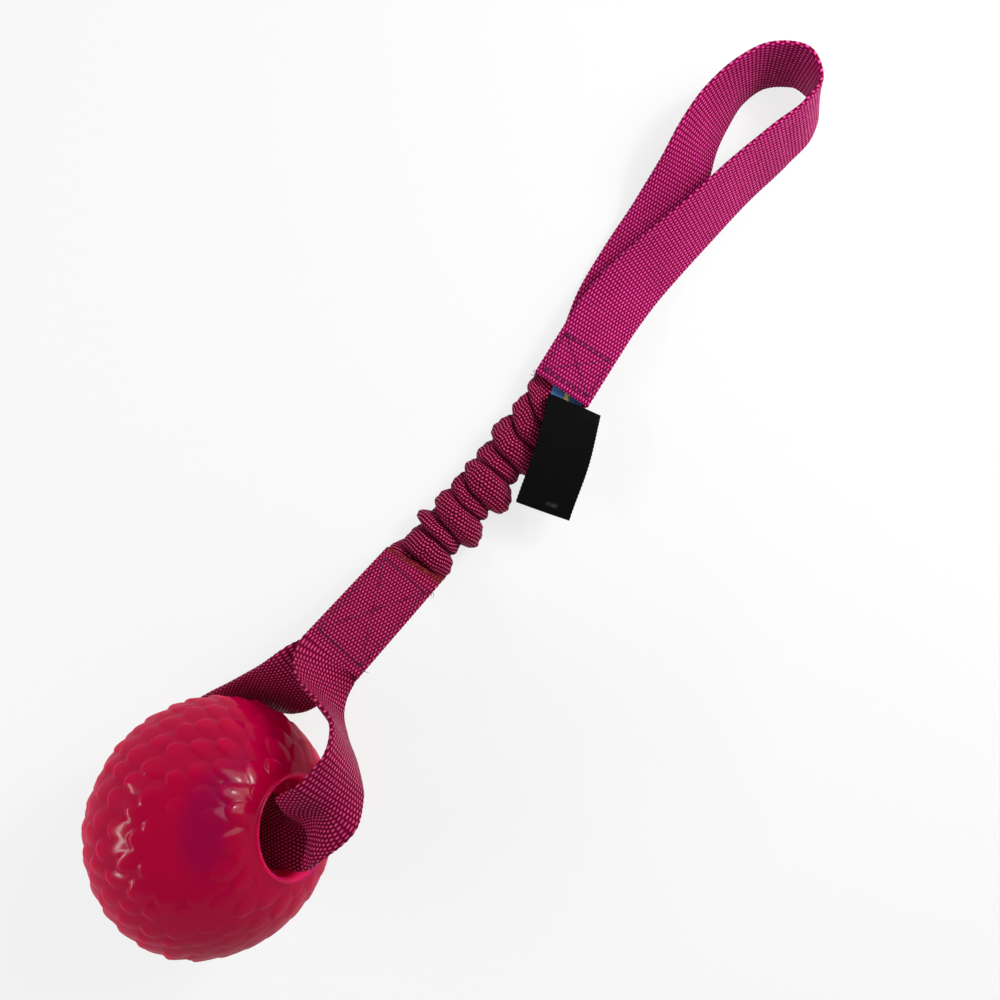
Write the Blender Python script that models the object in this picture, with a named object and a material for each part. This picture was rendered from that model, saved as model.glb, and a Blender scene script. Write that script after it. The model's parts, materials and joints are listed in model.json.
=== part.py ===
"""Bungee tug toy: a hollow rubber ball on a webbing loop, a gathered bungee sleeve and a webbing hand loop.

The build frame has the floor at z = 0, +Y along the bungee from the ball to the hand loop and its origin
under the lower seam's mouth. The whole toy is then moved so that it stands over its own centre.
"""

import math

import bmesh
import bpy
import numpy as np
from mathutils import Matrix, Vector

MM = 0.001

# Webbing, shared by the ball loop and the hand loop
webbing_width = 25 * MM
webbing_thickness = 1.8 * MM
seam_gap = 0.3 * MM

# Ball
ball_radius = 45 * MM
ball_flattening = 3.4 * MM
ball_wall = 7 * MM
mouth_clearance = 3.5 * MM
lip_radius = 1.6 * MM
ball_reach = 112.2 * MM
ball_offset = 5.6 * MM
bore_turn = math.radians(41.7)
bore_lift = math.radians(29.5)
strap_clearance = 0.7 * MM

# Bungee
bungee_length = 90 * MM
bungee_height = 7.1 * MM
bungee_bend = 2.5 * MM
elastic_width = 14 * MM
elastic_thickness = 2 * MM
sleeve_wall = 0.7 * MM
sleeve_flat_width = 24 * MM
sleeve_valley = 8.6 * MM
sleeve_half_height = 4.8 * MM
ruffle_reach = 4.2 * MM
ruffle_rise = 1.4 * MM
ruffle_half_length = 6.2 * MM
lower_shoulder = 7 * MM
upper_shoulder = 24 * MM

# Lower seam, between the ball loop and the sleeve
lower_seam_length = 52 * MM
lower_seam_slope = math.radians(37)
lower_seam_turn = math.radians(1.2)
lower_mouth_height = 6.8 * MM
lower_sleeve_depth = 36 * MM
lower_top_setback = 1 * MM
lower_bottom_setback = 3 * MM
lower_box_start = 8 * MM
lower_ply_lead = 2 * MM

# Upper seam, between the sleeve and the hand loop
upper_seam_length = 22 * MM
upper_seam_turn = math.radians(8)
upper_sleeve_depth = 17 * MM
upper_seam_lift = 1.2 * MM

# Hand loop
handle_reach = 131 * MM

# Stitches
thread_width = 0.8 * MM
thread_end_width = 1.6 * MM
thread_height = 0.5 * MM
stitch_margin = 2.2 * MM

# Labels
label_width = 22 * MM
label_length = 46.3 * MM
label_thickness = 0.4 * MM
ribbon_width = 18 * MM
ribbon_inset = 0.2 * MM
ribbon_clearance = 0.5 * MM
ribbon_thickness = 0.4 * MM
ribbon_root = 8 * MM
label_start = 3.4 * MM
label_turn = math.radians(23)
label_offset = 7.2 * MM
label_roll = math.radians(7)

# How finely curved things are divided
BALL_SEGMENTS = 48
OUTER_ARC_STEPS = 16
INNER_ARC_STEPS = 10
LIP_STEPS = 3
RIBBON_STEPS = 10
BALL_LOOP_STATIONS = 96
HAND_LOOP_STATIONS = 64
SLEEVE_STEPS = 58
SLEEVE_SIDES = 16
CORE_STEPS = 44
LABEL_STEPS = 8
LABEL_STATIONS = 26
FOLD_STEPS = 5
ROUNDING_STEPS = 5

# Edges sharper than these stay sharp
edge_angle = math.radians(35)
sleeve_edge_angle = math.radians(50)

# The front leg and the rear leg of the ball loop outside the ball. Each row is a place from the ball's centre
# in seat radii, then the direction from the right selvedge to the left one.
FRONT_LEG_SHARES = (
    ((-0.09, 1.41, 0.03), (-0.93, 0.02, 0.36)),
    ((0.01, 1.31, 0.14), (-0.79, 0.14, 0.60)),
    ((0.17, 1.27, 0.31), (-0.70, 0.31, 0.64)),
    ((0.35, 1.24, 0.50), (-0.67, 0.41, 0.62)),
    ((0.48, 1.13, 0.71), (-0.77, 0.29, 0.57)),
    ((0.52, 0.92, 0.81), (-0.95, 0.17, 0.27)),
    ((0.49, 0.71, 0.70), (-0.93, 0.35, 0.02)),
)
REAR_LEG_SHARES = (
    ((-0.58, -0.45, -0.71), (-0.89, 0.17, 0.43)),
    ((-0.60, -0.33, -0.80), (-0.92, 0.11, 0.37)),
    ((-0.60, -0.14, -0.84), (-0.95, 0.07, 0.30)),
    ((-0.59, 0.06, -0.85), (-0.97, 0.06, 0.26)),
    ((-0.55, 0.32, -0.81), (-0.94, 0.03, 0.34)),
    ((-0.49, 0.56, -0.70), (-0.89, -0.04, 0.44)),
    ((-0.41, 0.77, -0.53), (-0.89, -0.05, 0.45)),
    ((-0.33, 0.93, -0.36), (-0.95, 0.04, 0.32)),
    ((-0.26, 1.10, -0.20), (-0.97, 0.11, 0.22)),
    ((-0.21, 1.27, -0.12), (-0.98, 0.10, 0.12)),
)
# The loop inside the ball: a place along the bore in half bores, an offset from the bore's axis in mouth radii,
# then the same direction as above.
BORE_SHARES = (
    (1.02, (-0.22, 0.02, 0.24), (-0.87, 0.48, -0.12)),
    (0.70, (-0.06, 0.00, 0.06), (-0.74, 0.63, -0.22)),
    (0.00, (0.00, 0.00, 0.00), (-0.76, 0.64, -0.10)),
    (-0.65, (0.04, -0.06, 0.02), (-0.83, 0.45, 0.33)),
    (-0.90, (0.04, 0.08, -0.16), (-0.85, 0.33, 0.41)),
    (-1.04, (0.02, 0.26, -0.36), (-0.86, 0.25, 0.44)),
)
# The hand loop from its bottom ply round to its top ply. Each row is a place from the upper seam's end, in
# webbing widths across and up and in hand loop reaches along, then the direction from right selvedge to left.
HAND_LOOP_SHARES = (
    ((-0.20, 0.12, 0.09), (-0.99, -0.14, 0.02)),
    ((-0.33, 0.27, 0.10), (-0.98, -0.16, 0.07)),
    ((-0.43, 0.43, 0.16), (-0.95, -0.17, 0.22)),
    ((-0.58, 0.56, 0.30), (-0.85, -0.11, 0.50)),
    ((-0.75, 0.66, 0.40), (-0.73, -0.04, 0.69)),
    ((-0.84, 0.76, 0.45), (-0.61, 0.02, 0.79)),
    ((-0.83, 0.86, 0.49), (-0.44, 0.08, 0.89)),
    ((-0.64, 0.955, 0.51), (-0.33, 0.11, 0.94)),
    ((-0.19, 1.01, 0.53), (-0.27, 0.10, 0.95)),
    ((0.25, 0.975, 0.54), (-0.31, 0.00, 0.95)),
    ((0.36, 0.91, 0.53), (-0.42, -0.04, 0.91)),
    ((0.29, 0.80, 0.50), (-0.54, -0.03, 0.84)),
    ((0.16, 0.64, 0.47), (-0.61, -0.01, 0.79)),
    ((0.08, 0.48, 0.46), (-0.69, -0.01, 0.72)),
    ((-0.01, 0.33, 0.41), (-0.82, 0.00, 0.57)),
    ((-0.06, 0.21, 0.38), (-0.91, -0.02, 0.40)),
    ((-0.06, 0.10, 0.37), (-0.98, -0.09, 0.15)),
)
# The sleeve's ruffles: each one's place on the left and on the right in bungee lengths, then its reach on each.
RUFFLE_SHARES = (
    (0.06, 0.08, 1.00, 0.90),
    (0.19, 0.27, 1.00, 1.15),
    (0.35, 0.46, 0.65, 1.20),
    (0.53, 0.62, 0.65, 0.90),
    (0.73, 0.77, 0.85, 0.70),
    (0.88, 0.90, 0.60, 0.40),
)
# The labels' middle surface: a place along it and its height, in label lengths, then its share of the roll.
LABEL_SHARES = (
    (-0.18, 0.000, 0.0),
    (-0.04, 0.000, 0.0),
    (0.01, 0.003, 0.3),
    (0.06, 0.030, 0.9),
    (0.15, 0.095, 1.0),
    (0.28, 0.135, 1.0),
    (0.45, 0.16, 1.0),
    (0.70, 0.16, 1.0),
    (1.00, 0.13, 1.0),
)
# Where the bungee lies level on its way between the seams, in bungee lengths.
LEVEL_SHARES = (0.10, 0.50, 0.85)
# How square the sleeve's section is in the seams and how square its bore is: 1 is an oval, less is squarer.
SEAM_SQUARENESS = 0.45
BORE_SQUARENESS = 0.30
# How much of a run is cut from each end of it when a line's corners are rounded, and how often.
CORNER_CUT_SHARE = 0.25

# Sizes that follow from the ones above
mouth_radius = webbing_width / 2 + mouth_clearance
ball_half_bore = ball_radius - ball_flattening
seat_radius = ball_radius + webbing_thickness / 2 + strap_clearance
sleeve_flat_thickness = elastic_thickness + 2 * seam_gap + 2 * sleeve_wall
ply_offset = sleeve_flat_thickness / 2 + seam_gap + webbing_thickness / 2
ribbon_offset = sleeve_flat_thickness / 2 + ribbon_clearance + ribbon_thickness / 2
upper_top_offset = ribbon_offset + ribbon_thickness / 2 + ribbon_clearance + webbing_thickness / 2

# Each material's colour and roughness
WEBBING = ("webbing", (0.46, 0.006, 0.11, 1), 0.6)
THREAD = ("thread", (0.16, 0.01, 0.09, 1), 0.6)
RUBBER = ("rubber", (0.60, 0.0, 0.045, 1), 0.25)
ELASTIC = ("elastic", (0.75, 0.72, 0.66, 1), 0.8)
DARK_LABEL = ("dark_label", (0.008, 0.008, 0.009, 1), 0.6)
BLUE_LABEL = ("blue_label", (0.05, 0.17, 0.42, 1), 0.6)


def clear_scene():
    for thing in list(bpy.data.objects):
        bpy.data.objects.remove(thing, do_unlink=True)


def material(name, colour, roughness):
    made = bpy.data.materials.new(name)
    made.use_nodes = True
    shader = made.node_tree.nodes["Principled BSDF"]
    shader.inputs["Base Color"].default_value = colour
    shader.inputs["Roughness"].default_value = roughness
    shader.inputs["Metallic"].default_value = 0
    return made


def empty(name, place, parent=None, turn=None):
    """An empty at a place in the build frame, which carries a body on its joint's axis."""
    made = bpy.data.objects.new(name, None)
    bpy.context.collection.objects.link(made)
    made.parent = parent
    made.matrix_world = Matrix.Translation(place) @ (turn.to_4x4() if turn else Matrix.Identity(4))
    bpy.context.view_layer.update()
    return made


def mesh_object(name, points, faces, look, parent, angle=edge_angle):
    """An object from points in the build frame, carried by parent, smooth but for edges over the angle."""
    shape = bmesh.new()
    corners = [shape.verts.new(point) for point in points]
    for face in faces:
        shape.faces.new([corners[i] for i in face])
    bmesh.ops.recalc_face_normals(shape, faces=shape.faces)
    if shape.calc_volume(signed=True) < 0:
        bmesh.ops.reverse_faces(shape, faces=shape.faces)
    mesh = bpy.data.meshes.new(name)
    shape.to_mesh(mesh)
    shape.free()
    mesh.shade_smooth()
    mesh.set_sharp_from_angle(angle=angle)
    mesh.materials.append(look)
    made = bpy.data.objects.new(name, mesh)
    bpy.context.collection.objects.link(made)
    made.parent = parent
    made.matrix_parent_inverse = parent.matrix_world.inverted()
    return made


def smooth_rows(rows, steps, places=3):
    """Rows of numbers with a smooth curve read between them; their first columns say how far apart they lie."""
    rows = np.array(rows, float)
    run = np.concatenate([[0], np.cumsum(np.linalg.norm(np.diff(rows[:, :places], axis=0), axis=1))])
    slopes = np.gradient(rows, run, axis=0)
    found = []
    for i in range(len(rows) - 1):
        length = run[i + 1] - run[i]
        for step in range(steps):
            t = step / steps
            start, end = (1 + 2 * t) * (1 - t) ** 2, t * t * (3 - 2 * t)
            leave, arrive = t * (1 - t) ** 2 * length, t * t * (t - 1) * length
            found.append(start * rows[i] + end * rows[i + 1] + leave * slopes[i] + arrive * slopes[i + 1])
    found.append(rows[-1])
    return np.array(found)


def even_stations(line, count):
    """The line's rows read at evenly spaced stations; their first three numbers are the place."""
    run = np.concatenate([[0], np.cumsum(np.linalg.norm(np.diff(line[:, :3], axis=0), axis=1))])
    at = np.linspace(0, run[-1], count)
    return np.stack([np.interp(at, run, line[:, k]) for k in range(line.shape[1])], axis=1)


def unit(vectors):
    return vectors / np.linalg.norm(vectors, axis=-1, keepdims=True)


def path_frames(centres, across):
    """Unit tangents, widths square to them and normals along a path."""
    tangents = unit(np.gradient(centres, axis=0))
    across = unit(across - (across * tangents).sum(1, keepdims=True) * tangents)
    return tangents, across, np.cross(across, tangents)


def band(name, centres, across, width, thickness, look, parent):
    """A flat band along a path: its four corners at each station, joined into one closed strip."""
    _, across, normals = path_frames(centres, across)
    corners = ((-1, -1), (1, -1), (1, 1), (-1, 1))
    rings = [centres + across * width / 2 * side + normals * thickness / 2 * up for side, up in corners]
    points = np.stack(rings, axis=1).reshape(-1, 3)
    count, sides = len(centres), len(corners)
    faces = [tuple(range(sides)), tuple(range((count - 1) * sides, count * sides))]
    for i in range(count - 1):
        for k in range(sides):
            k_next = (k + 1) % sides
            faces.append((i * sides + k, i * sides + k_next, (i + 1) * sides + k_next, (i + 1) * sides + k))
    return mesh_object(name, points, faces, look, parent)


class Seam:
    """A sewn stack of two plies round a flattened sleeve end, with its mouth, heading, width and normal."""

    def __init__(self, mouth, heading, normal, length):
        self.mouth = np.array(mouth, float)
        self.heading = unit(np.array(heading, float))
        self.normal = unit(np.array(normal, float))
        self.across = np.cross(self.normal, self.heading)
        self.length = length

    def place(self, along, up, side=0.0):
        return self.mouth + self.heading * along + self.normal * up + self.across * side

    def matrix(self, along, up):
        turn = np.stack([self.across, self.heading, self.normal], axis=1)
        return Matrix.Translation(self.place(along, up)) @ Matrix(turn.tolist()).to_4x4()


def lower_seam():
    level, rise = math.cos(lower_seam_slope), math.sin(lower_seam_slope)
    side, back = math.sin(lower_seam_turn), math.cos(lower_seam_turn)
    heading, normal = (-side * level, -back * level, rise), (side * rise, back * rise, level)
    return Seam((0, 0, lower_mouth_height), heading, normal, lower_seam_length)


def upper_seam():
    height = upper_seam_lift + webbing_thickness / 2 + ply_offset
    heading = (-math.sin(upper_seam_turn), math.cos(upper_seam_turn), 0)
    return Seam((0, bungee_length, height), heading, (0, 0, 1), upper_seam_length)


def bore_axis():
    level = math.cos(bore_lift)
    return np.array((level * math.sin(bore_turn), level * math.cos(bore_turn), math.sin(bore_lift)))


def ball_centre():
    """The ball touches the floor, so its height follows from its radii and the bore's lift."""
    across, along = ball_radius * math.cos(bore_lift), ball_half_bore * math.sin(bore_lift)
    return np.array((ball_offset, -ball_reach, math.hypot(across, along)))


def arc(centre, radius, start, end, steps):
    """Points on a circular arc in the profile's plane, from one angle to the other."""
    angles = np.linspace(start, end, steps + 1)
    return [(centre[0] + radius * math.cos(a), centre[1] + radius * math.sin(a)) for a in angles]


def ball_profile():
    """The shell's section round the bore, as a closed loop: outside, one lip, the inside and the other lip."""
    outer_top = mouth_radius + lip_radius
    share = math.acos(outer_top / ball_radius)
    outer = [
        (ball_radius * math.cos(a), ball_half_bore * math.sin(a))
        for a in np.linspace(-share, share, OUTER_ARC_STEPS + 1)
    ]
    lip_height = outer[-1][1] - lip_radius
    upper_lip = arc((outer_top, lip_height), lip_radius, math.pi / 2, math.pi, LIP_STEPS)[1:]
    inside_radius, inside_half = ball_radius - ball_wall, ball_half_bore - ball_wall
    inner_share = math.acos(mouth_radius / inside_radius)
    inner = [
        (inside_radius * math.cos(a), inside_half * math.sin(a))
        for a in np.linspace(inner_share, -inner_share, INNER_ARC_STEPS + 1)
    ]
    lower_lip = [(radius, -height) for radius, height in reversed(upper_lip)]
    return outer + upper_lip + inner + lower_lip


def make_ball(parent, look):
    profile = ball_profile()
    turn = Vector((0, 0, 1)).rotation_difference(Vector(bore_axis())).to_matrix()
    centre = Vector(ball_centre())
    points = []
    for segment in range(BALL_SEGMENTS):
        angle = 2 * math.pi * segment / BALL_SEGMENTS
        for radius, height in profile:
            local = Vector((radius * math.cos(angle), radius * math.sin(angle), height))
            points.append(centre + turn @ local)
    count = len(profile)
    faces = []
    for segment in range(BALL_SEGMENTS):
        here, there = segment * count, (segment + 1) % BALL_SEGMENTS * count
        for k in range(count):
            k_next = (k + 1) % count
            faces.append((here + k, there + k, there + k_next, here + k_next))
    return mesh_object("ball", points, faces, look, parent)


def ply_rows(seam, offset, stations, across):
    return [(*seam.place(along, offset), *across) for along in stations]


def ball_loop_rows(seam):
    """Places and widths along the ball loop: top ply, front leg, bore, rear leg and bottom ply."""
    centre, bore = ball_centre(), bore_axis()
    left = -seam.across if seam.across[0] > 0 else seam.across
    stations = (seam.length / 3, seam.length * 2 / 3, seam.length, seam.length + lower_ply_lead)
    rows = ply_rows(seam, ply_offset, (lower_top_setback,) + stations, left)
    rows += [(*(centre + seat_radius * np.array(place)), *width) for place, width in FRONT_LEG_SHARES]
    for along, offset, width in BORE_SHARES:
        place = centre + bore * along * ball_half_bore + mouth_radius * np.array(offset)
        rows.append((*place, *width))
    rows += [(*(centre + seat_radius * np.array(place)), *width) for place, width in REAR_LEG_SHARES]
    rows += ply_rows(seam, -ply_offset, stations[::-1] + (lower_bottom_setback,), left)
    return even_stations(smooth_rows(rows, RIBBON_STEPS), BALL_LOOP_STATIONS)


def hand_loop_rows(seam):
    """Places and widths along the hand loop, from its bottom ply round to its top ply."""
    left = -seam.across if seam.across[0] > 0 else seam.across
    end = seam.place(seam.length, 0)
    stations = (0, seam.length / 2, seam.length)
    rows = ply_rows(seam, -ply_offset, stations, left)
    for (side, along, up), width in HAND_LOOP_SHARES:
        place = (end[0] + side * webbing_width, end[1] + along * handle_reach, up * webbing_width)
        rows.append((*place, *width))
    rows += ply_rows(seam, upper_top_offset, stations[::-1], left)
    return even_stations(smooth_rows(rows, RIBBON_STEPS), HAND_LOOP_STATIONS)


def bungee_path(lower, upper, inset):
    """The bungee's centre line: out of the lower seam, along the bungee's height and into the upper seam."""
    rise = np.array((0, 0, bungee_height))
    reach = np.array((0, bungee_length, 0))
    corners = [lower.place(along, 0) for along in (lower_sleeve_depth - inset, bungee_bend / 2, -bungee_bend)]
    corners += [rise + share * reach for share in LEVEL_SHARES]
    corners += [upper.place(along, 0) for along in (-bungee_bend, bungee_bend / 2, upper_sleeve_depth - inset)]
    return rounded_line(corners)


def rounded_line(corners):
    """A line through the corners, each cut again and again, which leaves the straight runs straight."""
    line = np.array(corners)
    for _ in range(ROUNDING_STEPS):
        cut = (line[1:] - line[:-1]) * CORNER_CUT_SHARE
        near, far = line[:-1] + cut, line[1:] - cut
        line = np.concatenate([line[:1], np.stack([near, far], axis=1).reshape(-1, 3)[1:-1], line[-1:]])
    return line


def open_share(along):
    """How far the sleeve is open: 0 inside the seams, 1 between them, with a soft shoulder at each."""
    into = min(along / lower_shoulder, (bungee_length - along) / upper_shoulder)
    into = min(max(into, 0), 1)
    return into * into * (3 - 2 * into)


def ruffle(along, side):
    """How far the ruffles stand out at a place along the bungee, as a share of their reach."""
    most = 0.0
    for left_place, right_place, left, right in RUFFLE_SHARES:
        centre = bungee_length * (left_place + (right_place - left_place) * (1 + side) / 2)
        away = abs(along - centre) / ruffle_half_length
        reach = left + (right - left) * (1 + side) / 2
        if away < 1:
            most = max(most, reach * math.sqrt(1 - away * away))
    return most


def flat_oval(angle, half_width, half_height, squareness):
    """A point of an oval whose ends get square as the squareness falls under 1."""
    cos, sin = math.cos(angle), math.sin(angle)
    return (
        half_width * math.copysign(abs(cos) ** squareness, cos),
        half_height * math.copysign(abs(sin) ** squareness, sin),
    )


def make_sleeve(lower, upper, parent, look):
    """The gathered sleeve: ruffled outside, with a plain bore round the elastic, flattened in both seams."""
    centres = even_stations(bungee_path(lower, upper, 0.0), SLEEVE_STEPS)
    across = np.tile(np.array((1.0, 0.0, 0.0)), (len(centres), 1))
    _, across, normals = path_frames(centres, across)
    bore_width = elastic_width / 2 + seam_gap + sleeve_wall
    bore_height = elastic_thickness / 2 + seam_gap
    points = []
    for centre, side, up in zip(centres, across, normals):
        up = up if up[2] > 0 else -up
        opened = open_share(centre[1])
        squareness = SEAM_SQUARENESS + (1 - SEAM_SQUARENESS) * opened
        for k in range(SLEEVE_SIDES):
            angle = 2 * math.pi * k / SLEEVE_SIDES
            reach = ruffle(centre[1], math.cos(angle)) * opened
            half_width = sleeve_flat_width / 2 * (1 - opened) + sleeve_valley * opened + ruffle_reach * reach
            half_height = sleeve_flat_thickness / 2 * (1 - opened) + sleeve_half_height * opened
            half_height += ruffle_rise * reach
            x, z = flat_oval(angle, half_width, half_height, squareness)
            points.append(centre + side * x + up * z)
        for k in range(SLEEVE_SIDES):
            angle = 2 * math.pi * k / SLEEVE_SIDES
            half_height = bore_height * (1 - opened) + sleeve_half_height / 2 * opened
            x, z = flat_oval(angle, bore_width, half_height, BORE_SQUARENESS)
            points.append(centre + side * x + up * z)
    ring = 2 * SLEEVE_SIDES
    faces = []
    for i in range(len(centres) - 1):
        for k in range(SLEEVE_SIDES):
            k_next = (k + 1) % SLEEVE_SIDES
            here, there = i * ring, (i + 1) * ring
            faces.append((here + k, here + k_next, there + k_next, there + k))
            here, there = here + SLEEVE_SIDES, there + SLEEVE_SIDES
            faces.append((here + k, there + k, there + k_next, here + k_next))
    for base in (0, (len(centres) - 1) * ring):
        for k in range(SLEEVE_SIDES):
            k_next = (k + 1) % SLEEVE_SIDES
            faces.append((base + k, base + k_next, base + SLEEVE_SIDES + k_next, base + SLEEVE_SIDES + k))
    return mesh_object("bungee_sleeve", points, faces, look, parent, sleeve_edge_angle)


def make_elastic(lower, upper, parent, look):
    centres = even_stations(bungee_path(lower, upper, elastic_thickness), CORE_STEPS)
    across = np.tile(np.array((-1.0, 0.0, 0.0)), (len(centres), 1))
    return band("elastic_core", centres, across, elastic_width, elastic_thickness, look, parent)


def plate(name, outline, faces, height, look, parent, place):
    """A flat plate: points in its own plane, the faces between them, and a wall wherever a face ends."""
    count = len(outline)
    points = [(x, y, z) for z in (-height / 2, height / 2) for x, y in outline]
    edges = [(face[k], face[(k + 1) % len(face)]) for face in faces for k in range(len(face))]
    rims = [edge for edge in edges if edge[::-1] not in edges]
    solid = [tuple(face[::-1]) for face in faces]
    solid += [tuple(i + count for i in face) for face in faces]
    solid += [(a, b, b + count, a + count) for a, b in rims]
    return mesh_object(name, [place @ Vector(point) for point in points], solid, look, parent)


def box_stitches(name, seam, start, end, up, look, parent):
    """A stitched box with a cross in it: the rows of thread round four triangles, laid in a seam's plane.

    The rows across the seam are sewn twice and so are wider than those along it."""
    x, y = webbing_width / 2 - stitch_margin, (end - start) / 2
    half, end_half = thread_width / 2, thread_end_width / 2
    diagonal = math.hypot(x, y)
    slope_x, slope_y = x / diagonal, y / diagonal
    near_x = (slope_x * (y - end_half) - half) / slope_y
    near_y = (slope_y * (x - half) - half) / slope_x
    out_x, out_y, in_x, in_y = x + half, y + end_half, x - half, y - end_half
    corners = [(-out_x, -out_y), (out_x, -out_y), (out_x, out_y), (-out_x, out_y)]
    triangles = [
        ((-near_x, -in_y), (near_x, -in_y), (0, -half / slope_x)),
        ((in_x, -near_y), (in_x, near_y), (half / slope_y, 0)),
        ((near_x, in_y), (-near_x, in_y), (0, half / slope_x)),
        ((-in_x, near_y), (-in_x, -near_y), (-half / slope_y, 0)),
    ]
    outline = corners + [point for triangle in triangles for point in triangle]
    sides = len(corners)
    left = [sides + len(triangle) * k for k, triangle in enumerate(triangles)]
    right, tip = [i + 1 for i in left], [i + 2 for i in left]
    faces = [tuple(tip)]
    for k in range(sides):
        k_next, k_before = (k + 1) % sides, (k - 1) % sides
        faces.append((k, k_next, right[k], left[k]))
        faces.append((k, left[k], tip[k], tip[k_before], right[k_before]))
    return plate(name, outline, faces, thread_height, look, parent, seam.matrix((start + end) / 2, up))


def label_directions():
    """Along the labels, away from their root, and across them to the right."""
    along = np.array((math.sin(label_turn), -math.cos(label_turn), 0))
    right = np.array((math.cos(label_turn), math.sin(label_turn), 0))
    return along, right


def label_path(seam, start, end, steps):
    """Places on the labels' middle surface, from start to end past their root, with the way across at each."""
    along, right = label_directions()
    root = seam.place(0, ribbon_offset) + np.array((label_offset, 0, 0))
    rows = smooth_rows(LABEL_SHARES, LABEL_STEPS, 1)
    places, ways = [], []
    for run in np.linspace(start, end, steps + 1):
        rise = np.interp(run / label_length, rows[:, 0], rows[:, 1]) * label_length
        roll = np.interp(run / label_length, rows[:, 0], rows[:, 2]) * label_roll
        places.append(root + along * run + np.array((0, 0, rise)))
        ways.append(right * math.cos(roll) - np.array((0, 0, math.sin(roll))))
    return np.array(places), np.array(ways)


def make_dark_label(seam, parent, look):
    """A woven strip folded over the blue ribbon's end: its front ply, the fold and its back ply."""
    apart = ribbon_thickness / 2 + seam_gap + label_thickness / 2
    places, ways = label_path(seam, label_start, label_length - apart, LABEL_STATIONS)
    tangents, across, normals = path_frames(places, ways)
    normals = normals * np.sign(normals[:, 2:3])
    front = places + normals * apart
    back = places - normals * apart
    angles = np.linspace(math.pi / 2, -math.pi / 2, FOLD_STEPS + 1)[1:-1]
    fold = [places[-1] + apart * (math.cos(a) * tangents[-1] + math.sin(a) * normals[-1]) for a in angles]
    centres = np.concatenate([front, fold, back[::-1]])
    way = np.concatenate([across, np.tile(across[-1], (len(fold), 1)), across[::-1]])
    return band("dark_label", centres, way, label_width, label_thickness, look, parent)


def make_blue_label(seam, parent, look):
    end = label_length - ribbon_thickness - 2 * seam_gap - label_thickness
    places, ways = label_path(seam, -ribbon_root, end, LABEL_STATIONS)
    places = places - ways * ((label_width - ribbon_width) / 2 - ribbon_inset)
    return band("blue_label", places, ways, ribbon_width, ribbon_thickness, look, parent)


def corners_of(made):
    bpy.context.view_layer.update()
    return np.array([made.matrix_world @ vertex.co for vertex in made.data.vertices])


def main():
    clear_scene()
    looks = (WEBBING, THREAD, RUBBER, ELASTIC, DARK_LABEL, BLUE_LABEL)
    webbing, thread, rubber, elastic, dark, blue = (material(*look) for look in looks)

    lower, upper = lower_seam(), upper_seam()
    toy = empty("toy", (0, 0, 0))
    spin_turn = Vector((0, 0, 1)).rotation_difference(Vector(bore_axis())).to_matrix()
    ball_axis = empty("ball_spin_axis", ball_centre(), toy, spin_turn)
    slide = empty("bungee_slide", upper.place(0, 0), toy)
    hinge_turn = Matrix.Rotation(upper_seam_turn, 3, "Z")
    hinge = empty("handle_hinge", upper.place(upper.length, 0), slide, hinge_turn)
    places, ways = label_path(upper, label_start, label_length, LABEL_STATIONS)
    flap_turn = Vector((1, 0, 0)).rotation_difference(Vector(ways[0])).to_matrix()
    flap = empty("label_hinge", places[0], slide, flap_turn)

    made = [make_ball(ball_axis, rubber)]
    rows = ball_loop_rows(lower)
    made.append(
        band("ball_loop_webbing", rows[:, :3], rows[:, 3:], webbing_width, webbing_thickness, webbing, toy)
    )
    rows = hand_loop_rows(upper)
    made.append(
        band("handle_webbing", rows[:, :3], rows[:, 3:], webbing_width, webbing_thickness, webbing, hinge)
    )
    made.append(make_sleeve(lower, upper, toy, webbing))
    made.append(make_elastic(lower, upper, toy, elastic))

    thread_offset = webbing_thickness / 2 + seam_gap + thread_height / 2
    top, bottom = ply_offset + thread_offset, -ply_offset - thread_offset
    start, end = lower_box_start, lower.length - stitch_margin
    made.append(box_stitches("lower_seam_top_thread", lower, start, end, top, thread, toy))
    made.append(box_stitches("lower_seam_bottom_thread", lower, start, end, bottom, thread, toy))
    start, end = stitch_margin, upper.length - stitch_margin
    top = upper_top_offset + thread_offset
    made.append(box_stitches("upper_seam_top_thread", upper, start, end, top, thread, slide))
    made.append(box_stitches("upper_seam_bottom_thread", upper, start, end, bottom, thread, slide))
    made.append(make_dark_label(upper, flap, dark))
    made.append(make_blue_label(upper, flap, blue))

    corners = np.concatenate([corners_of(each) for each in made])
    low, high = corners.min(axis=0), corners.max(axis=0)
    toy.location = (-(low[0] + high[0]) / 2, -(low[1] + high[1]) / 2, -low[2])
    bpy.context.view_layer.update()
    for each in (toy, ball_axis, slide, hinge, flap):
        print(each.name, [round(v, 5) for v in each.matrix_world.translation])
    print("spin axis", [round(v, 5) for v in bore_axis()])
    print("label axis", [round(v, 5) for v in ways[0]])


main()
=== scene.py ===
"""Bungee tug toy, dressed: webbing, gathered sleeve, scaled rubber ball, stitches and woven labels."""

import json
import math

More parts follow.
